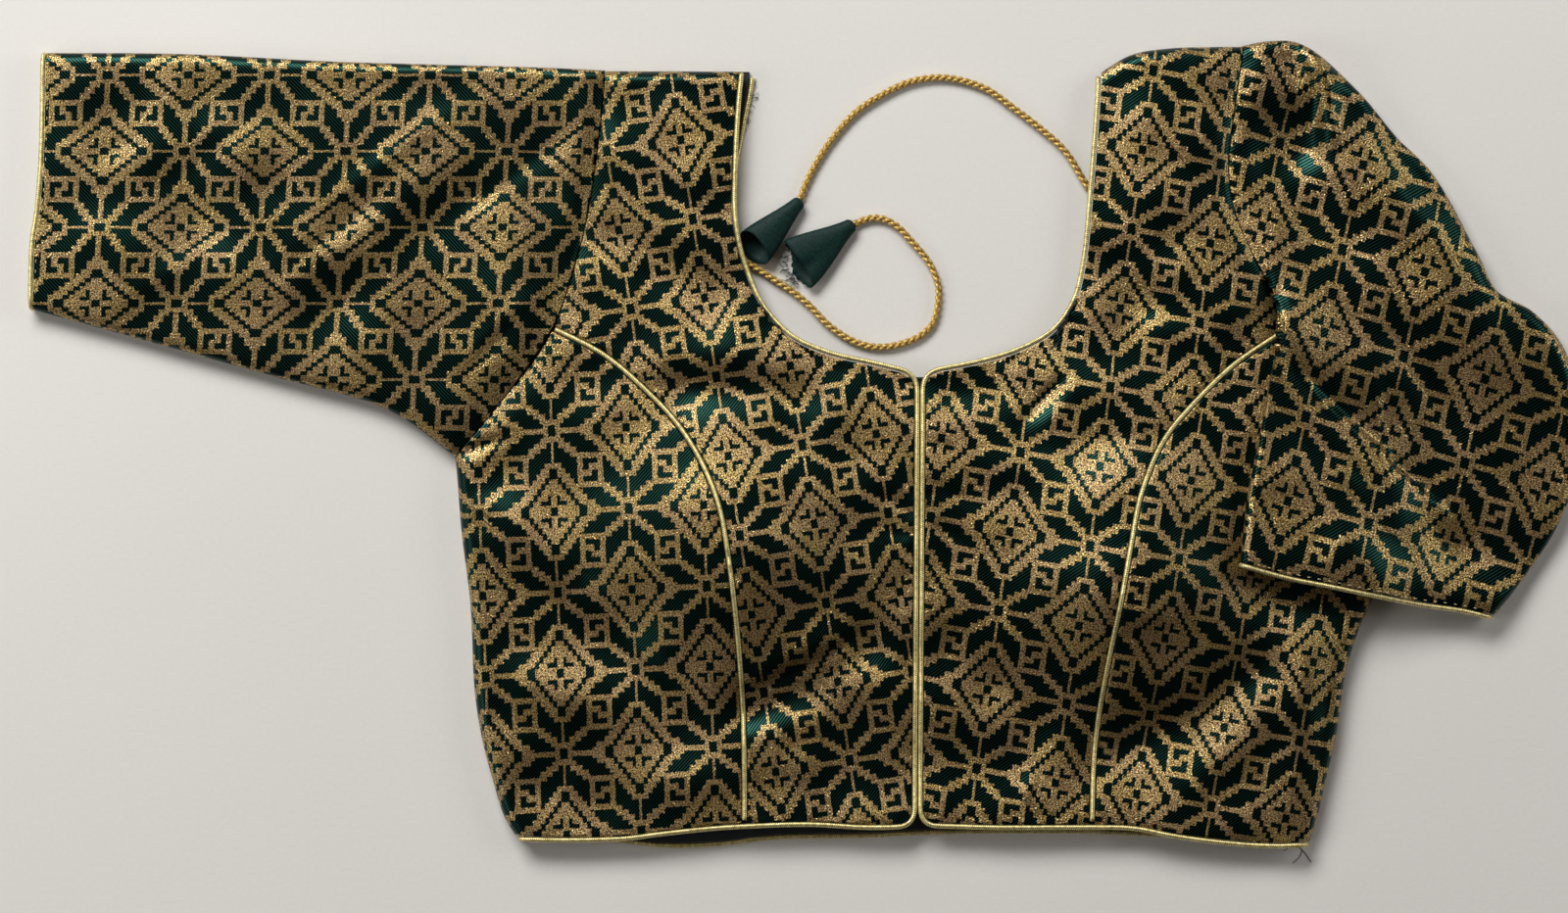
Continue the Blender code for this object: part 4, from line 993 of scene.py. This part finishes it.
def bunched(obj):
    """Gives the cloth brocade on both sides where it is bunched."""
    outer = len(obj.data.materials)
    for _ in range(2):
        obj.data.materials.append(MATERIALS["brocade"])
    places = [(Vector(World.points((x, y, 0.0))[:2]), reach * MM) for x, y, reach in BUNCHED]
    for face in obj.data.polygons:
        if any((face.center.xy - middle).length < reach for middle, reach in places):
            face.material_index = outer


def straight_sleeve(cuff_inset):
    """The lines and heights of the right sleeve, with its end moved in from the cuff line."""
    armhole = shifted(spline(ARMHOLE["right"]), -SEAM_GAP)
    cuff = shifted(spline(CUFF_RIGHT), cuff_inset)
    folds = spline(SLEEVE_RIGHT_TOP), spline(SLEEVE_RIGHT_BOTTOM)
    ends = (stretch(end, *folds) for end in (armhole, cuff))
    lines = *ends, *(stretch(fold, armhole, cuff) for fold in folds)
    return (lines, lines), (sleeve_right_face, level)


def folded_sleeve(cuff_inset):
    """The same for the left sleeve, whose lower layer runs on round the armhole under its inner fold."""
    seam = spline(ARMHOLE["left"])
    armhole, back_armhole = shifted(seam, SEAM_GAP), shifted(spline(BACK_ARMHOLE_LEFT), 2 * SEAM_GAP)
    cuff = shifted(spline(CUFF_LEFT), -cuff_inset)
    outer, inner = spline(SLEEVE_LEFT_OUTER), spline(SLEEVE_LEFT_INNER)
    end = stretch(cuff, outer, inner)
    upper = stretch(armhole, outer, inner), end, stretch(outer, armhole, cuff), stretch(inner, armhole, cuff)
    front_armhole = lower_armhole()[::-1]
    outer_crossing = crossing(back_armhole, outer)[0]
    back_armhole = between(back_armhole, outer_crossing, nearest(back_armhole, front_armhole[0]))
    under_armhole = np.vstack([back_armhole, front_armhole])
    lower = under_armhole, end, stretch(outer, back_armhole, cuff), stretch(inner, seam, cuff)
    return (upper, lower), (sleeve_left_face, sleeve_left_under)


SLEEVES = {"right": straight_sleeve, "left": folded_sleeve}
LOWER_SPANS = {"right": (0.0, 1.0), "left": (0.1, 0.95)}  # of the width between the folds


def upper_armhole():
    """The left front armhole that shows beside the folded sleeve, from the shoulder to the inner fold."""
    return stretch(spline(ARMHOLE["left"]), spline(SLEEVE_LEFT_OUTER), spline(SLEEVE_LEFT_INNER))


def lower_armhole():
    """The left front armhole under the folded sleeve, from where the fold crosses it to the underarm."""
    return stretch(spline(ARMHOLE["left"]), spline(SLEEVE_LEFT_INNER), spline(SIDE["left"]))


def back():
    """The back's outline inside its piping."""
    lines = [
        shifted(spline(BACK_NECK), -PIPE_INSET),
        spline(SHOULDER["left"]),
        shifted(spline(BACK_ARMHOLE_LEFT), -SEAM_GAP / 2),
        spline(SIDE["left"]),
        shifted(spline(BACK_HEM), PIPE_INSET),
        spline(SIDE["right"]),
        shifted(spline(ARMHOLE["right"]), SEAM_GAP / 2),
        spline(SHOULDER["right"]),
    ]
    return np.vstack([thinned(line, BACK_STEP, BACK_BEND)[:-1] for line in outline(lines)])


def frames(line):
    """The directions sideways and upwards from a line at each of its points."""
    along = unit(np.gradient(line, axis=0))
    sideways = unit(np.cross(along, [0.0, 0.0, 1.0]))
    return sideways, np.cross(sideways, along)


def round_places(lengths, sides):
    """Places on a tube: the length along it and the share of a turn round it."""
    turns, lengths = np.meshgrid(np.linspace(0.0, 1.0, sides + 1), lengths)
    return np.dstack([lengths, turns])


def tube_rows(line, radius, sides):
    """Rings of points round a line."""
    sideways, upward = frames(line)
    angles = np.linspace(0.0, 2 * np.pi, sides, endpoint=False)[:, None]
    ring = np.cos(angles) * sideways[:, None] + np.sin(angles) * upward[:, None]
    return line[:, None] + radius * ring


def tube(name, lines, radius, slot, material, sides=PIPE_SIDES, ring=False, node=None):
    """Round lengths along lines, as one piece."""
    sheets, layouts = [], []
    for line in lines:
        rows = tube_rows(line, radius, sides)
        if ring:
            rows = np.concatenate([rows, rows[:1]])
        else:
            rows = np.concatenate([line[:1, None] + 0 * rows[:1], rows, line[-1:, None] + 0 * rows[-1:]])
        sheets.append(rows)
        layouts.append(round_places(reach_of(rows.mean(axis=1)), sides))
    return new_piece(name, sheet_mesh(name, sheets, layouts, rings=True), slot, material, node=node)


def back_piece():
    """The back as a flat mesh, its lining upwards and its brocade on the surface."""
    rim = back()
    curve = bpy.data.curves.new("back_outline", "CURVE")
    curve.dimensions = "2D"
    curve.fill_mode = "BOTH"
    curve.extrude = WALL / 2 * MM
    path = curve.splines.new("POLY")
    path.points.add(len(rim) - 1)
    places = World.points(np.column_stack([rim, np.full(len(rim), WALL / 2)]))
    for point, place in zip(path.points, places):
        point.co = (*place, 1.0)
    path.use_cyclic_u = True
    source = bpy.data.objects.new("back_outline", curve)
    data = bpy.data.meshes.new_from_object(source)
    bpy.data.objects.remove(source)
    data.transform(Matrix.Translation((0.0, 0.0, WALL / 2 * MM)))
    obj = new_piece("back_cloth", data, "brocade", "brocade", "lining", node="back")
    while data.uv_layers:
        data.uv_layers.remove(data.uv_layers[0])
    layer = data.uv_layers.new(name="weave")
    corners = np.array([data.vertices[loop.vertex_index].co for loop in data.loops])
    layer.data.foreach_set("uv", repeats("back", corners[:, :2] / MM - World.shift[:2]).ravel())
    lined = [face for face in data.polygons if face.normal.z > UPWARD]
    for face in lined:
        face.material_index = 1


def placket():
    """The facing behind the centre opening, below both pipings."""
    middle = (spline(CENTRE_FRONT["right"]) + spline(CENTRE_FRONT["left"])) / 2
    middle = evenly(middle, int(length_of(middle) / STEP))[:, None] * np.ones((1, PLACKET_COLUMNS, 1))
    middle[0, :, 1] -= PLACKET_TOP
    middle[-1, :, 1] += PLACKET_BOTTOM
    across = np.linspace(-PLACKET_HALF_WIDTH, PLACKET_HALF_WIDTH, PLACKET_COLUMNS)
    rows = middle + np.dstack([across, 0 * across])
    fronts = [front_face(rows.reshape(-1, 2), side).reshape(rows.shape[:2]) for side in INWARD]
    below_piping = np.min(fronts, axis=0).min(axis=1) - WALL / 2 - PIPE_RADIUS - PLACKET_GAP
    sheet = np.dstack([rows, below_piping[:, None] * np.ones((1, PLACKET_COLUMNS))])
    data = sheet_mesh("placket_cloth", [sheet], [rows])
    obj = new_piece("placket_cloth", data, "lining", "lining", "lining", node="placket")
    walled(obj, PLACKET_WALL)


def piping(node, line, z, ring=False):
    tube(f"{node}_cloth", [np.column_stack([line, z])], PIPE_RADIUS, "piping", "piping", ring=ring, node=node)


def piping_run(line, first, last, short_of_first, short_of_last):
    """The stretch of a line between two others, less how far it stops short of each."""
    start, end = (crossing(line, other)[0] for other in (first, last))
    return spaced(between(line, start + short_of_first, end - short_of_last), PIPE_STEP)


def edge_piping(side):
    """The piping round a front's neck, centre and hem, at the middle of the wall's edge."""
    line = piping_run(front_edge(side), spline(SHOULDER[side]), spline(SIDE[side]), PIPE_END, PIPE_END)
    piping(f"piping_edge_{side}", line, front_top(line, side) + fine_form(line, "front") - WALL / 2)


def princess_piping(side):
    """The piping in a princess seam, half sunk between the panels."""
    above_hem = 2 * PIPE_RADIUS + 2 * SEAM_GAP
    line = piping_run(spline(PRINCESS[side]), spline(ARMHOLE[side]), front_edge(side), PIPE_END, above_hem)
    piping(f"piping_princess_{side}", line, front_top(line, side) + fine_form(line, "front") - PIPE_SINK)


def cuff_piping(side):
    layers, faces = SLEEVES[side](0.0)
    ring = section(layers, 1.0, faces, LOWER_SPANS[side], WALL / 2)
    ring[:, 2] = np.maximum(ring[:, 2], PIPE_RADIUS + SURFACE_GAP)
    line = spaced(np.vstack([ring, ring[:1]]), PIPE_STEP)[:-1]
    piping(f"piping_cuff_{side}", line[:, :2], line[:, 2], ring=True)


def back_piping(node, points, ends):
    """A piping on the back's edge, on the surface between two other lines."""
    line = piping_run(spline(points), *(spline(end) for end in ends), 2 * PIPE_END, 2 * PIPE_END)
    piping(node, line, np.full(len(line), PIPE_RADIUS + SURFACE_GAP))


def dori(side):
    """A tie cord of twisted strands lying on the surface, up to its tassel."""
    cone = tassel(side)
    route = spaced(spline(DORI[side]), ROUTE_STEP)
    route = np.column_stack([route, np.full(len(route), CORD_RADIUS + SURFACE_GAP)])
    turns = 2 * np.pi * reach_of(route) / STRAND_PITCH
    sideways, upward = frames(route)
    strands = []
    for strand in range(STRANDS):
        angle = (turns + 2 * np.pi * strand / STRANDS)[:, None]
        offset = np.cos(angle) * sideways + np.sin(angle) * upward
        strands.append(route + (CORD_RADIUS - STRAND_RADIUS) * offset)
    obj = tube(f"dori_{side}_strands", strands, STRAND_RADIUS, "dori", "dori", sides=10, node=f"dori_{side}")
    path = World.points(route)


def tassel(side):
    """A satin cone, closed round the cord and open at its mouth, whose upper edge is drawn back."""
    form = TASSELS[side]
    closed, mouth = np.array(form["closed"]), np.array(form["mouth"])
    length = np.linalg.norm(mouth - closed)
    along = (mouth - closed) / length
    closed, length = closed - TASSEL_GRIP * along, length + TASSEL_GRIP
    sideways = np.array([-along[1], along[0]])
    angles = np.linspace(0.0, 2 * np.pi, TASSEL_SIDES, endpoint=False)
    across, upward = np.cos(angles), np.sin(angles)
    ends = form["lip"], form["drawn_back"]
    lip, back = (start + (end - start) * ease(across + SIDE_CHANGE) for start, end in ends)
    lip = lip + form["ragged"] * np.random.default_rng(RAGGED_SEED).uniform(-1.0, 1.0, TASSEL_SIDES)
    pleats = PLEAT_DEPTH * np.sin(TASSEL_PLEATS * angles + PLEAT_TURN)
    rings = []
    for f in np.linspace(0.0, 1.0, TASSEL_RINGS + 1) ** RING_CROWDING:
        crown = np.sqrt(1 - (1 - min(1.0, f * length / TASSEL_CROWN)) ** 2)
        flare = ease(FLARE_START + FLARE_SHARE * f) / ease(FLARE_START + FLARE_SHARE)
        half_width = TASSEL_NECK + (form["half_width"] - TASSEL_NECK) * flare
        half_height = TASSEL_NECK + (form["half_height"] - TASSEL_NECK) * f
        ripple = 1 + pleats * ease(2 * f)
        crush = 1 - form["crush"] * f**3 * fade(across - CRUSH_AT, CRUSH_REACH) * (upward > 0)
        reach = f * length + f**3 * (lip * (1 - upward) - back * (1 + upward)) / 2
        plan = closed + np.outer(reach, along) + np.outer(across * half_width * crown * ripple, sideways)
        rise = half_height * (1 + upward * crown * crush)
        rings.append(np.column_stack([plan, rise + SURFACE_GAP]))
    layout = round_places(np.linspace(0.0, 1.0, len(rings)), TASSEL_SIDES)
    data = sheet_mesh(f"tassel_{side}_satin", [np.array(rings)], [layout], rings=True)
    obj = new_piece(f"tassel_{side}_satin", data, "satin", "satin", "satin", node=f"tassel_{side}")
    return walled(obj, TASSEL_WALL)


# Sewing and loose threads


def cuff_stitches(side):
    """Top-stitching just inside a cuff's piping, on the layer that shows."""
    layers, faces = SLEEVES[side](STITCH_INSET)
    ring = section(layers, 1.0, faces, LOWER_SPANS[side])[SLEEVE_TURN : SLEEVE_TURN + SLEEVE_COLUMNS + 1]
    stitches = []
    for start in np.arange(STITCH_GAP, length_of(ring) - STITCH_LENGTH, STITCH_LENGTH + STITCH_GAP):
        line = at(ring, np.linspace(start, start + STITCH_LENGTH, len(STITCH_ARCH)))
        line[:, 2] += STITCH_RADIUS * np.array(STITCH_ARCH)
        stitches.append(line)
    tube(f"stitches_cuff_{side}", stitches, STITCH_RADIUS, "piping", "thread", sides=6)


def loose_threads(name, threads, radius, slot):
    lines = []
    for thread in threads:
        line = spaced(spline([point[:2] for point in thread]), THREAD_STEP)
        shares = np.linspace(0, 1, len(line)), np.linspace(0, 1, len(thread))
        height = np.interp(*shares, [point[2] for point in thread])
        lines.append(np.column_stack([line, height + radius]))
    tube(name, lines, radius, slot, "dark_thread", sides=5)


def frayed(name, fray):
    """Short raw threads along an edge, about a heading in degrees."""
    chance = np.random.default_rng(fray["seed"])
    edge = np.array(fray["edge"])
    threads = []
    for reach in chance.uniform(0.0, length_of(edge), fray["threads"]):
        start = at(edge, [reach])[0]
        heading = np.radians(fray["heading"] + chance.uniform(-1.0, 1.0) * fray["spread"])
        ahead = chance.uniform(*fray["lengths"]) * np.array([np.cos(heading), np.sin(heading)])
        bow = chance.uniform(-FRAY_BOW, FRAY_BOW) * np.array([-ahead[1], ahead[0]])
        low, high = fray["heights"]
        middle = (*(start + FRAY_MIDDLE * ahead + bow), chance.uniform(low, high))
        threads.append(((*start, chance.uniform(low, high)), middle, (*(start + ahead), low)))
    loose_threads(name, threads, FRAY_RADIUS, fray["slot"])


# Materials


class Wire:
    """A number that flows through a material's nodes; its operators add Math nodes."""

    def __init__(self, tree, socket):
        self.tree, self.socket = tree, socket

    def math(self, operation, *others):
        node = self.tree.nodes.new("ShaderNodeMath")
        node.operation = operation
        for socket, value in zip(node.inputs, (self, *others)):
            if isinstance(value, Wire):
                self.tree.links.new(value.socket, socket)
            else:
                socket.default_value = value
        return Wire(self.tree, node.outputs[0])

    __add__ = partialmethod(math, "ADD")
    __sub__ = partialmethod(math, "SUBTRACT")
    __mul__ = partialmethod(math, "MULTIPLY")
    __neg__ = partialmethod(math, "MULTIPLY", -1.0)
    __abs__ = partialmethod(math, "ABSOLUTE")
    __lt__ = partialmethod(math, "LESS_THAN")
    __gt__ = partialmethod(math, "GREATER_THAN")
    __and__ = partialmethod(math, "MINIMUM")
    __or__ = partialmethod(math, "MAXIMUM")
    floor = partialmethod(math, "FLOOR")
    sine = partialmethod(math, "SINE")
    fold_back = partialmethod(math, "PINGPONG")

    def __rsub__(self, other):
        return -self + other

    def __invert__(self):
        return 1.0 - self

    def within(self, low, high):
        return (self > low) & (self < high)


class Look:
    """A material and the nodes that it is made of."""

    def __init__(self, name, **settings):
        self.material = bpy.data.materials.new(name)
        self.material.use_nodes = True
        self.tree = self.material.node_tree
        self.shader = self.tree.nodes["Principled BSDF"]
        self.feed_all(self.shader, settings)

    def feed(self, socket, value):
        if isinstance(value, Wire):
            value = value.socket
        if hasattr(value, "links"):
            self.tree.links.new(value, socket)
        else:
            socket.default_value = value

    def feed_all(self, node, values):
        for name, value in values.items():
            self.feed(node.inputs[name.replace("_", " ")], value)

    def node(self, kind, **inputs):
        node = self.tree.nodes.new(kind)
        self.feed_all(node, inputs)
        return node

    def places(self):
        """The two parts of a point's place on its piece."""
        parts = self.node("ShaderNodeSeparateXYZ", Vector=self.node("ShaderNodeUVMap").outputs["UV"])
        return Wire(self.tree, parts.outputs["X"]), Wire(self.tree, parts.outputs["Y"])

    def vector(self, x, y, scales=None):
        if scales:
            x, y = x * scales[0], y * scales[1]
        return self.node("ShaderNodeCombineXYZ", X=x, Y=y).outputs["Vector"]

    def noise(self, places=None, scale=1.0, detail=1.0):
        """Noise over some places, or through the solid piece, in metres."""
        places = places or self.node("ShaderNodeTexCoord").outputs["Object"]
        node = self.node("ShaderNodeTexNoise", Vector=places, Scale=scale, Detail=detail)
        return Wire(self.tree, node.outputs[0])

    def ramp(self, amount, *stops):
        """A colour, or a grey, between stops of amount and value."""
        node = self.node("ShaderNodeValToRGB", Fac=amount)
        elements = node.color_ramp.elements
        while len(elements) < len(stops):
            elements.new(0.5)
        for element, (place, value) in zip(elements, stops):
            element.position = place
            element.color = (*value, 1.0) if isinstance(value, tuple) else (value, value, value, 1.0)
        return node.outputs["Color"]

    def mix(self, amount, first, second):
        node = self.tree.nodes.new("ShaderNodeMix")
        node.data_type = "RGBA"
        self.feed(node.inputs[0], amount)
        for socket, value in ((node.inputs[6], first), (node.inputs[7], second)):
            self.feed(socket, (*value, 1.0) if isinstance(value, tuple) else value)
        return node.outputs[2]

    def finish(self, colour, height, depth, **links):
        """Colours the shader and bumps it by a height of 0 to 1 over some depth in millimetres."""
        bump = self.node("ShaderNodeBump", Height=height, Distance=depth * MM)
        self.feed_all(self.shader, {"Base_Color": colour, "Normal": bump.outputs["Normal"], **links})
        return self.material


def box(x, y, size):
    """Inside half a width and half a height."""
    return (x < size[0]) & (y < size[1])


def chart(u, v):
    """Where the brocade's gold lies, from a place in chart steps: stars, keys and stepped diamonds."""
    wide, tall = CHART
    a, b = u.fold_back(wide), v.fold_back(tall)
    far = a * (1 / wide) + b * (1 / tall) > 1.0
    a = a + far * (wide - a * 2.0)
    b = b + far * (tall - b * 2.0)

    star = box(a, b, STAR) & ~box(a, b, STAR_EYE)
    (half_down, down_span), (half_across, across_span) = RAYS
    rays = ((a < half_down) & b.within(*down_span)) | ((b < half_across) & a.within(*across_span))
    arm_middle = ((b * (1 / ARM_STEP)).floor() + 0.5) * (ARM_STEP * ARM_LEAN) + ARM_START
    arms = (abs(a - arm_middle) < ARM_HALF_WIDTH) & b.within(*ARM_SPAN)

    x, y = a - wide / 2, b - tall / 2
    inner = box(abs(x), abs(y), KEY_INSIDE)
    frame = box(abs(x), abs(y), KEY_OUTSIDE) & ~inner
    side, bar = KEY_BARS
    corner = (x < -side) | ((x < 0.0) & (y < -bar))
    opposite = (x > side) | ((x > 0.0) & (y > bar))
    key = frame | (inner & ~(corner | opposite))

    beside = a * (1 / wide) > b * (1 / tall)
    across = a + beside * (wide - a * 2.0)
    down = b + ~beside * (tall - b * 2.0)
    i, j = across.floor(), down.floor()
    middle = box(across, down, DIAMOND_MIDDLE)
    upright = across.within(*UPRIGHT[0]) & down.within(*UPRIGHT[1])
    level_bar = across.within(*LEVEL_BAR[0]) & down.within(*LEVEL_BAR[1])
    diamond = (i + j < DIAMOND_STEPS) & ~(middle | upright | level_bar)
    tips = ((i & j) < 0.5) & (i + j < TIP_STEPS)
    outer = (i + 0.5) * (1 / BAND_REACH[0]) + (j + 0.5) * (1 / BAND_REACH[1])
    band = ((across - BAND_SHIFT).floor() + j > BAND_STEPS) & (outer < BAND_EDGE) & ~tips
    return star | rays | arms | key | diamond | band


def blended(first, second, shares):
    return first * shares[0] + second * shares[1]


def rippled(amount, length):
    """A sine of an amount, from 0 to 1 and back over each length."""
    return (amount * (2 * np.pi / length)).sine() * 0.5 + 0.5


def brocade():
    look = Look("brocade_cloth", Specular_IOR_Level=0.05)
    along, across = look.places()
    x, y = along * HALF_REPEAT[0], across * HALF_REPEAT[1]
    fray = (look.noise(look.vector(x, y), FRAY_SCALE, detail=0.0) - 0.5) * FRAY_STEPS
    gold = chart(along * CHART[0] + fray, across * CHART[1] + fray)

    on, over = (x + y) * DIAGONAL, (x - y) * DIAGONAL  # along a float of the weave and across it
    floats = look.noise(look.vector(on, over, FLOAT_SCALES))
    twill = rippled(over, TWILL_SPACING)
    tarnish = look.noise(look.vector(x, y), TARNISH_SCALE)
    shine = Wire(look.tree, look.ramp(floats, (0.46, 0.0), (0.70, 1.0)))
    shade = look.ramp(floats, (0.30, 0.0), (0.44, 1.0))
    core = look.ramp(tarnish, (0.42, (0.165, 0.086, 0.022)), (0.58, (0.175, 0.086, 0.046)))
    zari = look.mix(shine, look.mix(shade, (0.018, 0.010, 0.005), core), (1.0, 0.81, 0.35))
    thread_shade = twill * (floats * FLOAT_SHADE + TWILL_SHADE)
    ground = look.ramp(thread_shade, (0.15, (0.0002, 0.0006, 0.0005)), (0.75, (0.020, 0.066, 0.053)))
    height = gold * GOLD_RISE + gold * floats * FLOAT_RISE + ~gold * twill * TWILL_RISE
    dull = gold * ~shine
    return look.finish(
        look.mix(gold, ground, zari), height, BROCADE_DEPTH, Metallic=1.0 - dull * DULL_METAL_LOSS,
        Roughness=dull * DULL_ROUGHER + ~gold * GROUND_ROUGHER + SHINE_ROUGHNESS,
    )


def grained(name, *stops, scale, detail, depth, **settings):
    """A material that one fine grain colours and bumps."""
    look = Look(name, **settings)
    grain = look.noise(scale=scale, detail=detail)
    return look.finish(look.ramp(grain, *stops), grain, depth)


def lining():
    return grained(
        "lining_cloth", (0.3, (0.002, 0.005, 0.005)), (0.7, (0.010, 0.018, 0.016)),
        scale=1600.0, detail=1.0, depth=0.06, Roughness=0.75, Sheen_Weight=0.1,
    )


def piping_cloth():
    look = Look("piping_cloth", Roughness=0.34, Metallic=0.75)
    along, around = look.places()
    ribs = rippled(along + around * RIB_SLANT, RIB_SPACING)
    blotch = look.noise(look.vector(along, around, BLOTCH_SCALES), detail=2.0)
    stops = (0.30, (0.20, 0.135, 0.035)), (0.52, (0.60, 0.48, 0.165)), (0.80, (1.0, 0.90, 0.47))
    return look.finish(look.ramp(blended(ribs, blotch, PIPING_GLINT), *stops), ribs, TRIM_DEPTH)


def dori_thread():
    look = Look("dori_thread", Roughness=0.45, Metallic=0.35)
    along, around = look.places()
    plies = rippled(blended(along, around, PLIES), 1.0)
    fibre = look.noise(look.vector(along, around, FIBRE_SCALES), detail=2.0)
    glint = blended(plies, fibre, DORI_GLINT)
    stops = (0.28, (0.20, 0.105, 0.018)), (0.52, (0.62, 0.39, 0.085)), (0.82, (1.0, 0.82, 0.36))
    return look.finish(look.ramp(glint, *stops), glint, TRIM_DEPTH)


def satin():
    return grained(
        "satin_cloth", (0.3, (0.003, 0.014, 0.012)), (0.75, (0.008, 0.036, 0.029)),
        scale=900.0, detail=2.0, depth=0.05, Roughness=0.55, Specular_IOR_Level=0.15,
    )


def gold_thread():
    return grained("gold_thread", (0.3, (0.45, 0.34, 0.15)), (0.7, (0.90, 0.80, 0.50)), **THREAD_GRAIN)


def dark_thread():
    return grained("dark_thread", (0.3, (0.004, 0.012, 0.010)), (0.7, (0.02, 0.05, 0.04)), **THREAD_GRAIN)


def paper():
    look = Look("paper", Roughness=0.85)
    fibre, tone = look.noise(scale=420.0, detail=3.0), look.noise(scale=3.0)
    stops = (0.3, (0.765, 0.744, 0.700)), (0.7, (0.822, 0.800, 0.755))
    return look.finish(look.ramp(blended(fibre, tone, PAPER_GRAIN), *stops), fibre, depth=0.06)


# Stage, light and camera


def make_stage():
    data = bpy.data.meshes.new("floor")
    half = FLOOR_WIDTH / 2
    corners = (-half, -half, 0), (half, -half, 0), (half, half, 0), (-half, half, 0)
    data.from_pydata(corners, [], [(0, 1, 2, 3)])
    data.materials.append(paper())
    placed("floor", data)


def make_light(name, place, size, power):
    """A soft box that faces the middle of the floor."""
    data = bpy.data.lights.new(name, "AREA")
    data.shape = "RECTANGLE"
    data.size, data.size_y = size
    data.energy = power
    light = placed(name, data)
    light.location = place
    light.rotation_euler = Vector(place).to_track_quat("Z", "Y").to_euler()


def make_camera():
    """Straight down, framing a width of the surface."""
    data = bpy.data.cameras.new("camera")
    data.sensor_width = SENSOR_WIDTH
    data.lens = SENSOR_WIDTH * CAMERA_HEIGHT / (FRAME_WIDTH * MM)
    camera = placed("camera", data)
    middle = World.points((*FRAME_CENTRE, 0.0))
    camera.location = (middle[0], middle[1], CAMERA_HEIGHT + PLATEAU * MM)
    bpy.context.scene.camera = camera


def make_world():
    world = bpy.data.worlds.new("studio")
    world.use_nodes = True
    background = world.node_tree.nodes["Background"]
    background.inputs["Color"].default_value = WORLD_COLOUR
    background.inputs["Strength"].default_value = WORLD_STRENGTH
    bpy.context.scene.world = world


MAKERS = {
    "brocade": brocade, "lining": lining, "piping": piping_cloth, "dori": dori_thread,
    "satin": satin, "thread": gold_thread, "dark_thread": dark_thread,
}
MATERIALS = {}


def main():
    bpy.context.scene.view_settings.view_transform = "Standard"
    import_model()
    low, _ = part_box("back")
    World.shift = np.array([*(np.array(low[:2]) / MM - back().min(axis=0)), 0.0])
    for name, make in MAKERS.items():
        MATERIALS[name] = make()
    make_camera()
    for side in ("left", "right"):
        dori(side)
    back_piece()
    placket()
    parts = centre_front, side_front, sleeve, edge_piping, princess_piping, cuff_piping, cuff_stitches
    for side in ("right", "left"):
        for make_part in parts:
            make_part(side)
    back_piping("piping_back_neck", BACK_NECK, (SHOULDER["right"], SHOULDER["left"]))
    back_piping("piping_back_hem", BACK_HEM, (SIDE["right"], SIDE["left"]))
    for name, fray in FRAYS.items():
        frayed(name, fray)
    loose_threads("threads_loose", LOOSE_THREADS, LOOSE_RADIUS, "lining")
    make_stage()
    for name, light in LIGHTS.items():
        make_light(name, *light)
    make_world()


main()
